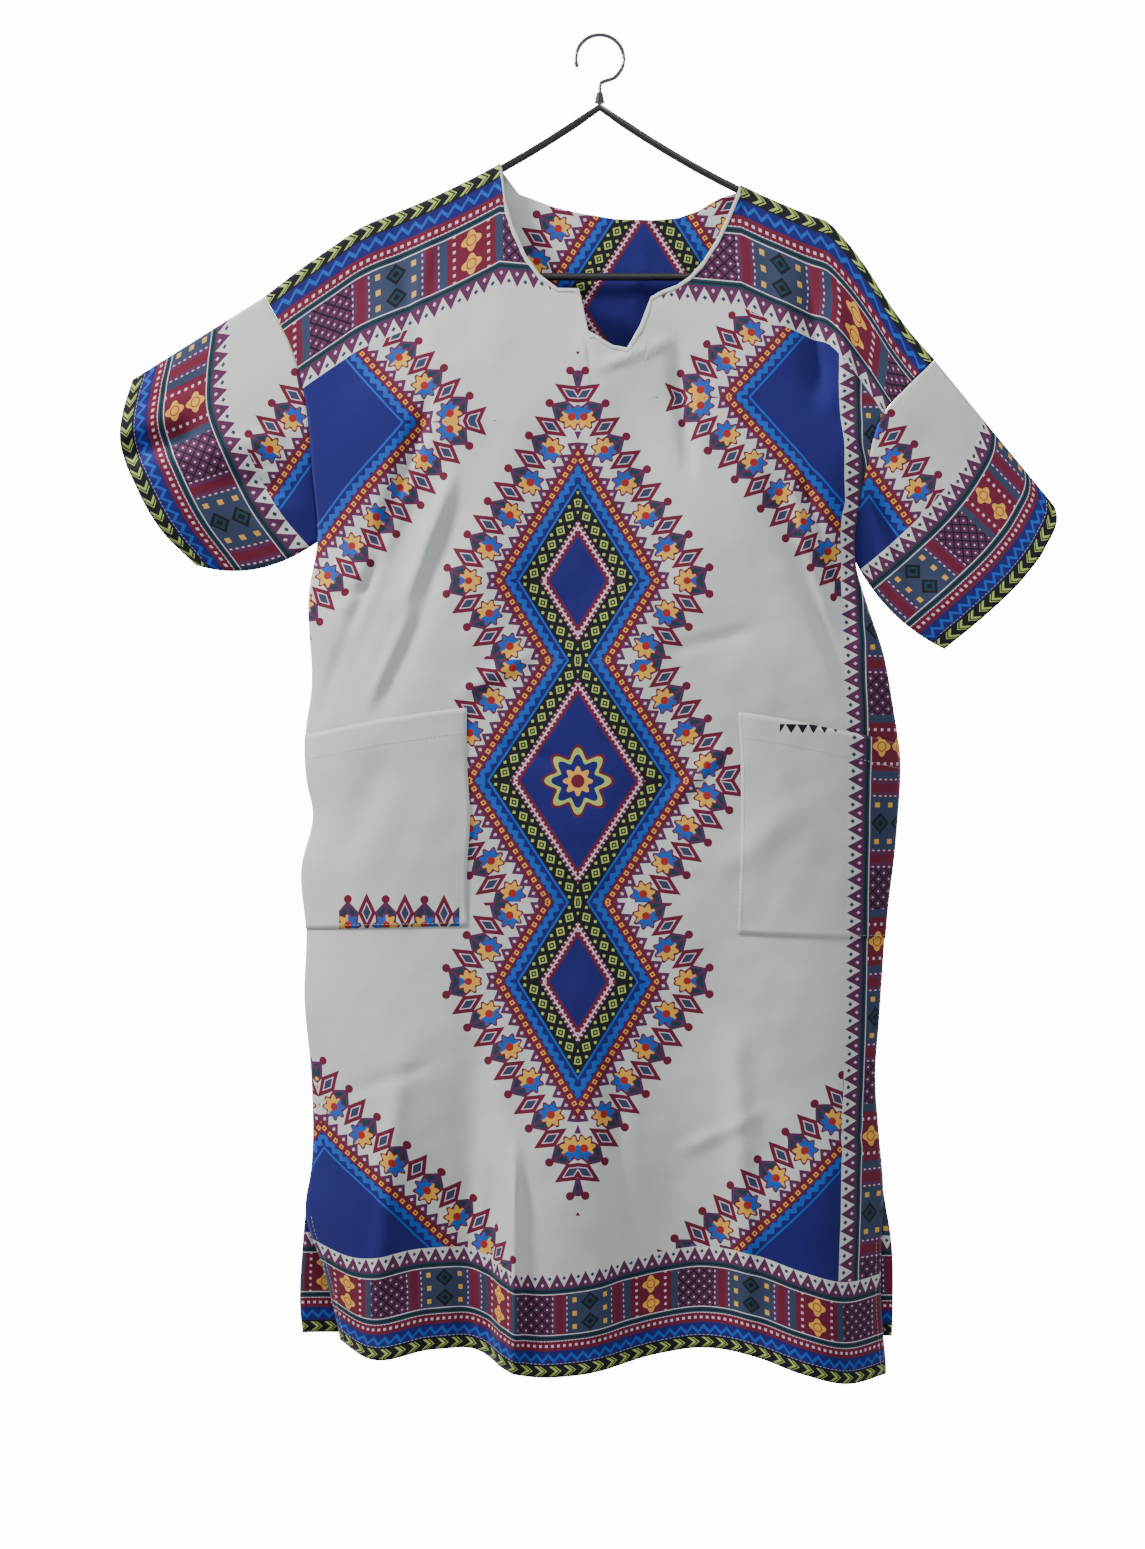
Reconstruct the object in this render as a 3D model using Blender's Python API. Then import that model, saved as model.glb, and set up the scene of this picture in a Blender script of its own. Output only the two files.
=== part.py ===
"""A dashiki shirt on a coat hanger: front and back panels, two set-in sleeves and two patch pockets.

Sizes are in metres. +X is to the right as the shirt is seen from the front, the front faces -Y and
+Z is up. The origin is the top of the inside of the hanger's hook, where a rail carries it.
"""

import math
from collections import namedtuple

import bpy
import numpy as np

WALL = 0.0012
SEAM_GAP = 0.0003
SEAM_HALF = WALL + SEAM_GAP / 2  # from the middle of a side seam to the outside of one layer

# The hanger: arms that flatten outwards, a round end, and a bar that closes the frame.
TUBE_R = 0.0035
APEX_Z = -0.0639
ARM_STEEPNESS = 0.7066
ARM_FLATTENING = 0.863
ARM_REACH = 0.193
BAR_Z = -0.218
HOOK_WIRE_R = 0.0018
HOOK_BEND_R = 0.0218
HOOK_START_DEG = -50
HOOK_TIP_DEG = 200
SHANK_LENGTH = 0.006
FERRULE_R = 0.0048
FERRULE_LENGTH = 0.009

# The cloth lies on the arms, this far outside the tube's middle.
CLOTH_ON_TUBE_R = TUBE_R + SEAM_GAP + WALL

Edge = namedtuple("Edge", "z x")
ShoulderPoint = namedtuple("ShoulderPoint", "x z")
Depth = namedtuple("Depth", "z front back")
Fold = namedtuple("Fold", "x0 z0 x1 z1 width height")
SleeveFold = namedtuple("SleeveFold", "along0 round0 along1 round1 width height")
Sleeve = namedtuple("Sleeve", "cuff sag_x sag_z folds")

# The armhole seam and the side seam below it, down to where the side slit starts.
LEFT_EDGE = [
    Edge(*row)
    for row in (
        (-0.2358, -0.3042),
        (-0.2835, -0.2790),
        (-0.3258, -0.2673),
        (-0.3960, -0.2601),
        (-0.4590, -0.2565),
        (-0.5040, -0.2640),
        (-0.5940, -0.2619),
        (-0.6345, -0.2673),
        (-0.6750, -0.2655),
        (-0.7038, -0.2600),
        (-0.7560, -0.2705),
        (-0.8100, -0.2664),
        (-0.8730, -0.2682),
        (-0.9450, -0.2619),
        (-1.0260, -0.2619),
        (-1.0665, -0.2673),
    )
]
RIGHT_EDGE = [
    Edge(*row)
    for row in (
        (-0.2934, 0.3042),
        (-0.3186, 0.2780),
        (-0.3402, 0.2585),
        (-0.3906, 0.2412),
        (-0.4275, 0.2340),
        (-0.4770, 0.2322),
        (-0.5220, 0.2450),
        (-0.5580, 0.2570),
        (-0.6030, 0.2655),
        (-0.6480, 0.2718),
        (-0.7290, 0.2682),
        (-0.7830, 0.2619),
        (-0.8910, 0.2538),
        (-0.9450, 0.2502),
        (-0.9990, 0.2538),
        (-1.0440, 0.2574),
    )
]
# Below the slits the front and the back hang apart.
FRONT_LEFT_SLIT = [Edge(-1.116, -0.2520), Edge(-1.161, -0.2403), Edge(-1.205, -0.2320)]
FRONT_RIGHT_SLIT = [Edge(-1.098, 0.2556), Edge(-1.152, 0.2556), Edge(-1.205, 0.2600)]
BACK_LEFT_SLIT = [Edge(-1.110, -0.2710), Edge(-1.150, -0.2727), Edge(-1.205, -0.2660)]
BACK_RIGHT_SLIT = [Edge(-1.098, 0.2655), Edge(-1.152, 0.2664), Edge(-1.205, 0.2646)]

# The shoulder line beyond the ends of the hanger, where only the cloth holds it.
LEFT_SHOULDER = [
    ShoulderPoint(*row)
    for row in (
        (-0.3042, -0.2358),
        (-0.2772, -0.2150),
        (-0.2403, -0.1890),
        (-0.2180, -0.1740),
        (-0.2080, -0.1690),
    )
]
RIGHT_SHOULDER = [
    ShoulderPoint(*row)
    for row in (
        (0.2080, -0.1690),
        (0.2180, -0.1790),
        (0.2457, -0.2150),
        (0.2628, -0.2420),
        (0.2835, -0.2700),
        (0.3042, -0.2934),
    )
]

# The edges without their waves, which the middle of a panel follows.
LEFT_CALM = [Edge(-1.200, -0.2640), Edge(-0.470, -0.2640), Edge(-0.2358, -0.3042)]
RIGHT_CALM = [Edge(-1.200, 0.2450), Edge(-0.800, 0.2600), Edge(-0.480, 0.2620), Edge(-0.2934, 0.3042)]
WAVES_REACH_IN = 4  # how fast the edges' waves fade from a seam to the middle

NECK_LEFT_X = -0.0909
NECK_RIGHT_X = 0.1278
# Each row is a point of the neck's edge: x, z. The front one has the small cut notch.
FRONT_NECK = (
    (-0.0860, -0.1476),
    (-0.0792, -0.1710),
    (-0.0675, -0.1985),
    (-0.0540, -0.2178),
    (-0.0380, -0.2300),
    (-0.0189, -0.2304),
    (-0.0108, -0.2690),
    (0.0110, -0.2826),
    (0.0243, -0.2853),
    (0.0360, -0.2646),
    (0.0459, -0.2385),
    (0.0560, -0.2326),
    (0.0693, -0.2277),
    (0.0810, -0.2196),
    (0.0927, -0.2061),
    (0.1062, -0.1845),
    (0.1161, -0.1634),
)
BACK_NECK = (
    (-0.0733, -0.1418),
    (-0.0420, -0.1535),
    (-0.0167, -0.1593),
    (0.0144, -0.1643),
    (0.0495, -0.1652),
    (0.0711, -0.1634),
    (0.0887, -0.1575),
    (0.1080, -0.1458),
)

# How far the front and the back stand off the middle plane, besides the tube they hang over.
DEPTHS = [
    Depth(*row)
    for row in (
        (-0.10, 0.004, 0.003),
        (-0.20, 0.010, 0.007),
        (-0.30, 0.016, 0.009),
        (-0.45, 0.022, 0.010),
        (-0.70, 0.026, 0.011),
        (-1.00, 0.030, 0.012),
        (-1.20, 0.034, 0.013),
    )
]
DEPTH_GROWS_OVER = 0.20  # below the shoulder line
ARMHOLE_BULGE = 0.010
SQUARENESS = 5  # how flat a panel is before it turns back to the side seams

# Pulls and creases of the front, as lines with a soft cross-section; a trough has a height below 0.
FRONT_FOLDS = [
    Fold(*row)
    for row in (
        (-0.150, -0.380, -0.242, -0.610, 0.015, -0.0075),
        (-0.124, -0.420, -0.206, -0.620, 0.014, -0.0060),
        (-0.178, -0.400, -0.228, -0.570, 0.014, 0.0045),
        (0.148, -0.390, 0.228, -0.580, 0.014, -0.0070),
        (0.185, -0.230, 0.196, -0.340, 0.011, -0.0065),
        (0.198, -0.470, 0.246, -0.610, 0.012, -0.0055),
        (-0.190, -0.650, -0.240, -0.745, 0.020, -0.0050),
        (0.020, -0.300, 0.062, -0.520, 0.020, -0.0030),
        (-0.060, -0.300, -0.110, -0.520, 0.022, 0.0030),
        (0.100, -0.760, 0.190, -0.690, 0.014, 0.0030),
    )
]
BACK_FOLDS = [
    Fold(*row)
    for row in (
        (-0.120, -0.260, -0.215, -0.560, 0.018, -0.0045),
        (0.110, -0.260, 0.200, -0.560, 0.018, -0.0045),
        (-0.060, -0.560, -0.085, -1.180, 0.026, 0.0050),
        (0.070, -0.600, 0.095, -1.180, 0.024, 0.0045),
        (0.010, -0.640, 0.000, -1.180, 0.026, -0.0045),
    )
]
# The hem's waves: x and how far the cloth swings forward there. They fade out towards the waist.
HEM_WAVES = (
    (-0.270, 0.000),
    (-0.200, 0.008),
    (-0.140, -0.018),
    (-0.112, -0.022),
    (-0.088, 0.010),
    (-0.066, 0.016),
    (0.000, 0.008),
    (0.045, -0.014),
    (0.085, -0.020),
    (0.135, -0.008),
    (0.180, 0.010),
    (0.215, 0.018),
    (0.270, 0.004),
)
WAVES_START_Z = -0.80
WAVES_FULL_Z = -1.17

# Heights of the grid's main lines at the left seam, the left pocket's inner edge, the middle, the
# right pocket's inner edge and the right seam.
LINE_STATIONS = (0.0, 0.268, 0.50, 0.733, 1.0)
UNDERARM_LINE = (-0.4590, -0.4620, -0.4660, -0.4710, -0.4770)
POCKET_MOUTH_LINE = (-0.6340, -0.6100, -0.6080, -0.6140, -0.6420)
POCKET_FOOT_LINE = (-0.8100, -0.8060, -0.8080, -0.8130, -0.8190)
# The hems, by place across the panel, u, and height.
FRONT_HEM = (
    (0.00, -1.1830),
    (0.05, -1.1935),
    (0.20, -1.1870),
    (0.28, -1.1880),
    (0.36, -1.2030),
    (0.47, -1.2040),
    (0.62, -1.1910),
    (0.69, -1.1865),
    (0.78, -1.1920),
    (0.86, -1.2060),
    (0.94, -1.2170),
    (1.00, -1.2140),
)
BACK_HEM = ((0.0, -1.1770), (0.3, -1.1830), (0.5, -1.1810), (0.75, -1.1870), (1.0, -1.1800))

LEFT_POCKET_INNER_U = 0.268
RIGHT_POCKET_INNER_U = 0.733
POCKET_GAPE = 0.0090

# Turns of the cloth over the hanger, in degrees from the top, and rows between the main lines.
WRAP_DEG = (0, 35, 65, 90)
ROWS = (8, 6, 8, 15)
BACK_ROWS = (8, 4, 5, 11)
# Columns of the grids, by where they meet the top edge. At each side of the neck three stand close
# together, so that the cut edge runs round the hanger's tube and doesn't cut across it.
NECK_TURNS = (0.0, 0.0011, 0.0022)
NECK_EDGE_LIFT = 0.0016
FRONT_NECK_X = (
    (-0.0792, -0.0610)
    + (-0.0380, -0.0189, -0.0108, 0.0000, 0.0110, 0.0243, 0.0360, 0.0459, 0.0560)
    + (0.0800, 0.1030)
)
BACK_NECK_X = (-0.0733, -0.0420, -0.0140, 0.0160, 0.0495, 0.0800, 0.1080)
LEFT_X = (-0.2780, -0.2530, -0.2286, -0.2034, -0.1790, -0.1530)
RIGHT_X = (0.1700, 0.2000, 0.2178, 0.2390, 0.2600, 0.2820)

CUFF_HALF_DEPTH = 0.017
CUFF_FOLD_HALF = 0.0028
SLEEVE_STEPS = 8
LEFT_SLEEVE = Sleeve(
    cuff=(
        (-0.4230, -0.3105),
        (-0.4311, -0.3420),
        (-0.4329, -0.3700),
        (-0.4185, -0.4095),
        (-0.3960, -0.4500),
        (-0.3672, -0.4797),
    ),
    sag_x=0.000,
    sag_z=-0.014,
    folds=(
        SleeveFold(0.55, 0.40, 1.05, 0.36, 0.060, -0.009),
        SleeveFold(0.00, 0.80, 0.60, 0.62, 0.060, -0.006),
    ),
)
RIGHT_SLEEVE = Sleeve(
    cuff=(
        (0.4122, -0.4257),
        (0.4140, -0.4365),
        (0.4032, -0.4635),
        (0.3825, -0.4920),
        (0.3510, -0.5235),
        (0.3132, -0.5560),
    ),
    sag_x=-0.006,
    sag_z=-0.007,
    folds=(
        SleeveFold(0.00, 0.62, 0.70, 0.80, 0.060, -0.006),
        SleeveFold(0.10, 0.30, 0.90, 0.22, 0.070, -0.004),
    ),
)

COTTON = ("printed_cotton", (0.56, 0.58, 0.60), 0.85, 0.0)
POCKET_COTTON = ("pocket_cotton", (0.60, 0.62, 0.64), 0.85, 0.0)
BLACK_PLASTIC = ("black_plastic", (0.02, 0.02, 0.022), 0.35, 0.0)
DARK_STEEL = ("dark_steel", (0.10, 0.10, 0.11), 0.30, 1.0)


def smooth_through(points, at):
    """A smooth curve through (place, value) points in rising order, level beyond its ends."""
    places = np.array([point[0] for point in points], float)
    values = np.array([point[1] for point in points], float)
    slopes = np.gradient(values, places)
    i = np.clip(np.searchsorted(places, at) - 1, 0, len(places) - 2)
    width = places[i + 1] - places[i]
    t = np.clip((at - places[i]) / width, 0.0, 1.0)
    rise = values[i + 1] - values[i]
    start, end = slopes[i] * width, slopes[i + 1] * width
    return values[i] + t * (start + t * ((3 * rise - 2 * start - end) + t * (start + end - 2 * rise)))


def ease(t):
    """0 to 1 with level ends."""
    t = np.clip(t, 0.0, 1.0)
    return t * t * (3 - 2 * t)


def arm_height(x):
    """The middle of the hanger's tube at x, along its arms."""
    reach = abs(x)
    return APEX_Z - ARM_STEEPNESS * reach + ARM_FLATTENING * reach * reach


def cloth_over_tube(x):
    """How far the cloth's top lies above the tube's middle where the arm slopes."""
    slope = ARM_STEEPNESS - 2 * ARM_FLATTENING * min(abs(x), ARM_REACH)
    return CLOTH_ON_TUBE_R * math.hypot(1, slope)


def on_hanger(x):
    return arm_height(x) + cloth_over_tube(x)


def shoulder_height(x):
    """The top line of the shirt at x; across the neck, the straight line between the shoulders."""
    left = [ShoulderPoint(-ARM_REACH, on_hanger(-ARM_REACH))]
    right = [ShoulderPoint(ARM_REACH, on_hanger(ARM_REACH))]
    if x < -ARM_REACH:
        return float(smooth_through(LEFT_SHOULDER + left, x))
    if x > ARM_REACH:
        return float(smooth_through(right + RIGHT_SHOULDER, x))
    if NECK_LEFT_X < x < NECK_RIGHT_X:
        share = (x - NECK_LEFT_X) / (NECK_RIGHT_X - NECK_LEFT_X)
        return on_hanger(NECK_LEFT_X) * (1 - share) + on_hanger(NECK_RIGHT_X) * share
    return on_hanger(x)


class Panel:
    """One side of the body, the front or the back, as a grid of points on its outside.

    A place on it is (u, z): u runs from the left seam, 0, to the right one, 1, and z is the height.
    """

    def __init__(self, name, out, left_slit, right_slit, hem, neck, folds, row_counts):
        self.name = name
        self.out = out  # -1 for the front, which faces -Y, and 1 for the back
        self.left = sorted(LEFT_EDGE + left_slit)
        self.right = sorted(RIGHT_EDGE + right_slit)
        self.hem = hem
        left_corner = (NECK_LEFT_X, on_hanger(NECK_LEFT_X))
        right_corner = (NECK_RIGHT_X, on_hanger(NECK_RIGHT_X))
        # Where the edge leaves the tube, in front of it or behind it.
        left_low = (NECK_LEFT_X + NECK_TURNS[2], arm_height(NECK_LEFT_X))
        right_low = (NECK_RIGHT_X - NECK_TURNS[2], arm_height(NECK_RIGHT_X))
        self.neck = [left_corner, left_low] + list(neck) + [right_low, right_corner]
        self.folds = folds
        self.row_counts = row_counts

    def lay_out(self, stations):
        self.grid = [[self.point(u, z) for z in self.rows(u)] for u in stations]

    def edge_height(self, x):
        """The height of the panel's top edge at x."""
        if NECK_LEFT_X < x < NECK_RIGHT_X:
            return float(np.interp(x, *zip(*self.neck)))
        return shoulder_height(x)

    def x_at(self, u, z):
        left, right = smooth_through(LEFT_CALM, z), smooth_through(RIGHT_CALM, z)
        x = left + u * (right - left)
        x += (smooth_through(self.left, z) - left) * (1 - u) ** WAVES_REACH_IN
        return float(x + (smooth_through(self.right, z) - right) * u**WAVES_REACH_IN)

    def u_at(self, x, z):
        low, high = 0.0, 1.0
        for _ in range(40):
            middle = (low + high) / 2
            low, high = (middle, high) if self.x_at(middle, z) < x else (low, middle)
        return (low + high) / 2

    def top(self, u):
        """The height of the panel's top edge in the column at u."""
        z = APEX_Z
        for _ in range(60):
            z += 0.5 * (self.edge_height(self.x_at(u, z)) - z)
        return z

    def station(self, x):
        """The column that meets the top edge at x."""
        return self.u_at(x, self.edge_height(x))

    def rows(self, u):
        """Heights of this column's points: close together over the tube, then even between lines."""
        top = self.top(u)
        over = cloth_over_tube(self.x_at(u, top))
        heights = [top - over * (1 - math.cos(math.radians(turn))) for turn in WRAP_DEG]
        straight = (UNDERARM_LINE, POCKET_MOUTH_LINE, POCKET_FOOT_LINE)
        lines = [list(zip(LINE_STATIONS, line)) for line in straight]
        lines.append(self.hem)
        for line, count in zip(lines, self.row_counts):
            start = heights[-1]
            end = float(smooth_through(line, u))
            heights += [start + (end - start) * (i + 1) / count for i in range(count)]
        return heights

    def swing(self, x, z):
        """The waves of the hem, which fade out upwards. The back swings less, and the other way."""
        share = ease((WAVES_START_Z - z) / (WAVES_START_Z - WAVES_FULL_Z))
        wave = float(smooth_through(HEM_WAVES, x)) * share
        return wave if self.out < 0 else -0.25 * wave

    def creases(self, x, z):
        total = 0.0
        for fold in self.folds:
            along_x, along_z = fold.x1 - fold.x0, fold.z1 - fold.z0
            length = math.hypot(along_x, along_z)
            share = ((x - fold.x0) * along_x + (z - fold.z0) * along_z) / length**2
            aside = ((x - fold.x0) * along_z - (z - fold.z0) * along_x) / length
            ends = ease((share + 0.1) / 0.35) * ease((1.1 - share) / 0.35)
            total += fold.height * math.exp(-((aside / fold.width) ** 2)) * float(ends)
        return total

    def standoff(self, u, z):
        """How far the outside of the cloth lies from the middle plane."""
        x = self.x_at(u, z)
        below = max(0.0, shoulder_height(x) - z)
        over = cloth_over_tube(x)
        turn = math.acos(max(0.0, 1 - below / over))
        round_tube = SEAM_GAP / 2 + (CLOTH_ON_TUBE_R - SEAM_GAP / 2) * math.sin(turn)
        past_corner = min(x - NECK_LEFT_X, NECK_RIGHT_X - x)
        if past_corner > 0:
            round_tube += NECK_EDGE_LIFT * float(ease(past_corner / 0.001) * ease(2 - below / 0.015))
        sideways = abs(2 * u - 1)
        edge = LEFT_EDGE if u < 0.5 else RIGHT_EDGE
        line = UNDERARM_LINE[0] if u < 0.5 else UNDERARM_LINE[-1]
        armhole = (edge[0].z - z) / (edge[0].z - line)
        pinch = (CLOTH_ON_TUBE_R - SEAM_HALF) * float(ease((armhole - 0.55) / 0.45)) * sideways**10
        bulge = ARMHOLE_BULGE * math.sin(math.pi * min(1.0, max(0.0, armhole))) * sideways**4
        column = 1 if self.out < 0 else 2
        full = smooth_through(sorted((row.z, row[column]) for row in DEPTHS), z)
        hang = float(ease(below / DEPTH_GROWS_OVER))
        across = 1 - sideways**SQUARENESS
        body = float(full) + self.creases(x, z) + self.swing(x, z)
        return round_tube - pinch + bulge + body * hang * across

    def point(self, u, z):
        return (self.x_at(u, z), self.out * self.standoff(u, z), z)


def stations_of(panel, neck_x, pocket_edges):
    """Columns: the seams, the given places on the top edge and, in front, the pockets' inner edges."""
    left_turns = [NECK_LEFT_X + turn for turn in NECK_TURNS]
    right_turns = [NECK_RIGHT_X - turn for turn in NECK_TURNS]
    on_edge = (*LEFT_X, *left_turns, *neck_x, *right_turns, *RIGHT_X)
    return sorted([0.0, 1.0, *pocket_edges, *(panel.station(x) for x in on_edge)])


def column_normals(column, out):
    """Unit normals of a column's points, to the outside, that stay within the seam it lies on."""
    places = np.array(column, float)
    along = np.gradient(places, axis=0)
    run = np.hypot(along[:, 0], along[:, 2])[:, None]
    down = np.column_stack((along[:, 0], np.zeros(len(along)), along[:, 2])) / run
    normals = np.array((0.0, out, 0.0)) * run - down * out * along[:, 1:2]
    normals[0] = -down[0]
    return normals / np.linalg.norm(normals, axis=1, keepdims=True), down


def normals_of(panel):
    """Unit normals of a panel, to its outside; upright on the shoulders, where the panels meet."""
    places = np.array(panel.grid, float)
    across, down = np.gradient(places, axis=0), np.gradient(places, axis=1)
    normals = np.cross(across, down)
    normals *= np.sign(normals[..., 1:2]) * panel.out
    for i, column in enumerate(panel.grid):
        if not NECK_LEFT_X + 1e-5 < column[0][0] < NECK_RIGHT_X - 1e-5:
            normals[i, 0, 1] = 0.0
            normals[i, 0] *= math.copysign(1, normals[i, 0, 2])
    normals /= np.linalg.norm(normals, axis=2, keepdims=True)
    normals[0] = column_normals(panel.grid[0], panel.out)[0]
    normals[-1] = column_normals(panel.grid[-1], panel.out)[0]
    return normals


def material(name, colour, roughness, metallic):
    made = bpy.data.materials.get(name) or bpy.data.materials.new(name)
    made.use_nodes = True
    shader = made.node_tree.nodes["Principled BSDF"]
    shader.inputs["Base Color"].default_value = (*colour, 1.0)
    shader.inputs["Roughness"].default_value = roughness
    shader.inputs["Metallic"].default_value = metallic
    return made


def finish(name, data, finish_values):
    made = bpy.data.objects.new(name, data)
    parts.objects.link(made)
    data.materials.append(material(*finish_values))
    return made


def surface(name, points, faces, finish_values):
    mesh = bpy.data.meshes.new(name)
    mesh.from_pydata([tuple(map(float, point)) for point in points], [], faces)
    mesh.shade_smooth()
    return finish(name, mesh, finish_values)


def cloth_grid(name, outer, inner, out, finish_values):
    """A sheet of cloth between two grids of points, in columns from the top down."""
    columns_, rows = len(outer), len(outer[0])
    points = [*np.reshape(outer, (-1, 3)), *np.reshape(inner, (-1, 3))]
    inside = columns_ * rows
    faces = []
    for i in range(columns_ - 1):
        for j in range(rows - 1):
            a, b, c, d = i * rows + j, i * rows + j + 1, (i + 1) * rows + j + 1, (i + 1) * rows + j
            faces.append((a, b, c, d))
            faces.append((d + inside, c + inside, b + inside, a + inside))
    down_left = [j for j in range(rows)]
    along_foot = [i * rows + rows - 1 for i in range(columns_)]
    up_right = [(columns_ - 1) * rows + j for j in range(rows)][::-1]
    along_top = [i * rows for i in range(columns_)][::-1]
    for edge in (down_left, along_foot, up_right, along_top):
        for a, b in zip(edge, edge[1:]):
            faces.append((b, a, a + inside, b + inside))
    if out > 0:
        faces = [face[::-1] for face in faces]
    return surface(name, points, faces, finish_values)


def panel_cloth(panel):
    outer = np.array(panel.grid, float)
    return cloth_grid(panel.name, outer, outer - WALL * normals_of(panel), panel.out, COTTON)


def pocket(name, front, first, last):
    """A patch pocket from the front's own points, moved out. Its mouth gapes in the middle."""
    mouth = len(WRAP_DEG) - 1 + ROWS[0] + ROWS[1]
    foot = mouth + ROWS[2]
    normals = normals_of(front)
    outer, inner = [], []
    for i in range(first, last + 1):
        across = (i - first) / (last - first)
        lifts = []
        for j in range(mouth, foot + 1):
            down = (j - mouth) / (foot - mouth)
            lifts.append(POCKET_GAPE * math.sin(math.pi * across) ** 0.7 * (1 - down) ** 1.4)
        base = np.array(front.grid[i][mouth : foot + 1])
        lift = np.array(lifts)[:, None] + SEAM_GAP
        inner.append(base + lift * normals[i, mouth : foot + 1])
        outer.append(base + (lift + WALL) * normals[i, mouth : foot + 1])
    return cloth_grid(name, outer, inner, front.out, POCKET_COTTON)


def sleeve(name, front, back, shape, column):
    """A flattened tube from the armhole's own points to the cuff, folded along its top and bottom."""
    bottom = len(WRAP_DEG) - 1 + ROWS[0]
    armhole = [[np.array(panel.grid[column][j]) for j in range(bottom + 1)] for panel in (front, back)]
    lengths = [0.0]
    for a, b in zip(armhole[0], armhole[0][1:]):
        lengths.append(lengths[-1] + math.hypot(b[0] - a[0], b[2] - a[2]))
    shares = [length / lengths[-1] for length in lengths]
    steps = [math.dist(a, b) for a, b in zip(shape.cuff, shape.cuff[1:])]
    cuff_at = [sum(steps[:i]) / sum(steps) for i in range(len(shape.cuff))]
    outer, inner = [], []
    for k in range(SLEEVE_STEPS + 1):
        along = k / SLEEVE_STEPS
        sides, insides = [], []
        for side, out in ((0, -1), (1, 1)):
            points = []
            for start, share in zip(armhole[side], shares):
                end = [float(smooth_through(list(zip(cuff_at, way)), share)) for way in zip(*shape.cuff)]
                way = np.array((end[0] - start[0], 0.0, end[1] - start[2]))
                sag = 4 * along * (1 - along) * share**3
                place = start + way * (along + (1 - along) * SEAM_GAP / np.linalg.norm(way))
                place += np.array((shape.sag_x, 0.0, shape.sag_z)) * sag
                rounder = (CUFF_HALF_DEPTH - ARMHOLE_BULGE) * math.sin(math.pi * share) * along
                rounder += (CUFF_FOLD_HALF - SEAM_HALF) * share**6 * along
                if side == 0:
                    rounder += sleeve_creases(shape, along, share)
                place[1] += out * rounder
                points.append(place)
            points[0][1] = 0.0
            normals, down = column_normals(points, out)
            inside = np.array(points) - WALL * normals
            inside[0, 1] = 0.0
            inside[-1] -= WALL * down[-1]
            sides.append(points)
            insides.append(list(inside))
        outer.append(sides[0] + sides[1][:0:-1])
        inner.append(insides[0] + insides[1][:0:-1])
    count = len(outer[0])
    points = [point for ring in outer + inner for point in ring]
    inside_at = len(outer) * count
    faces = []
    for i in range(count):
        j = (i + 1) % count
        for k in range(SLEEVE_STEPS):
            a, b = k * count + i, k * count + j
            faces.append((a, b, b + count, a + count))
            faces.append(tuple(place + inside_at for place in (a + count, b + count, b, a)))
        last = SLEEVE_STEPS * count
        faces.append((j, i, i + inside_at, j + inside_at))
        faces.append((last + i, last + j, last + j + inside_at, last + i + inside_at))
    if column == 0:
        faces = [face[::-1] for face in faces]
    return surface(name, points, faces, COTTON)


def sleeve_creases(shape, along, share):
    total = 0.0
    for fold in shape.folds:
        run, turn = fold.along1 - fold.along0, fold.round1 - fold.round0
        length = math.hypot(run, turn)
        place = ((along - fold.along0) * run + (share - fold.round0) * turn) / length**2
        aside = ((along - fold.along0) * turn - (share - fold.round0) * run) / length
        ends = ease((place + 0.1) / 0.3) * ease((1.1 - place) / 0.3)
        total += fold.height * math.exp(-((aside / fold.width) ** 2)) * float(ends)
    return total * float(ease(along / 0.25)) * math.sin(math.pi * share) ** 0.5


def tube(name, path, radius, closed, sides, finish_values):
    """A round wire along a path, with flat ends where it isn't closed."""
    curve = bpy.data.curves.new(name, "CURVE")
    curve.dimensions = "3D"
    spline = curve.splines.new("POLY")
    spline.points.add(len(path) - 1)
    for point, (x, y, z) in zip(spline.points, path):
        point.co = (x, y, z, 1)
    spline.use_cyclic_u = closed
    curve.bevel_depth = radius
    curve.bevel_resolution = (sides - 4) // 2
    curve.use_fill_caps = not closed
    return finish(name, curve, finish_values)


def hanger_frame():
    """The closed frame: up the left arm, down the right one, round its end and back along the bar."""
    slope = ARM_STEEPNESS - 2 * ARM_FLATTENING * ARM_REACH
    heading = math.atan(slope)
    end_z = arm_height(ARM_REACH)
    bend_r = (end_z - BAR_Z) / (1 + math.cos(heading))
    middle_x = ARM_REACH - bend_r * math.sin(heading)
    middle_z = end_z - bend_r * math.cos(heading)
    arm = [(x, arm_height(x)) for x in np.linspace(0, ARM_REACH, 10)]
    bend = []
    for turn in np.linspace(math.pi / 2 - heading, -math.pi / 2, 10)[1:]:
        bend.append((middle_x + bend_r * math.cos(turn), middle_z + bend_r * math.sin(turn)))
    bar = [(x, BAR_Z) for x in np.linspace(bend[-1][0], 0, 5)[1:]]
    right = arm + bend + bar
    left = [(-x, z) for x, z in right[-2:0:-1]]
    path = [(x, 0.0, z) for x, z in right + left]
    return tube("hanger_frame", path, TUBE_R, True, 12, BLACK_PLASTIC)


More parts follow.
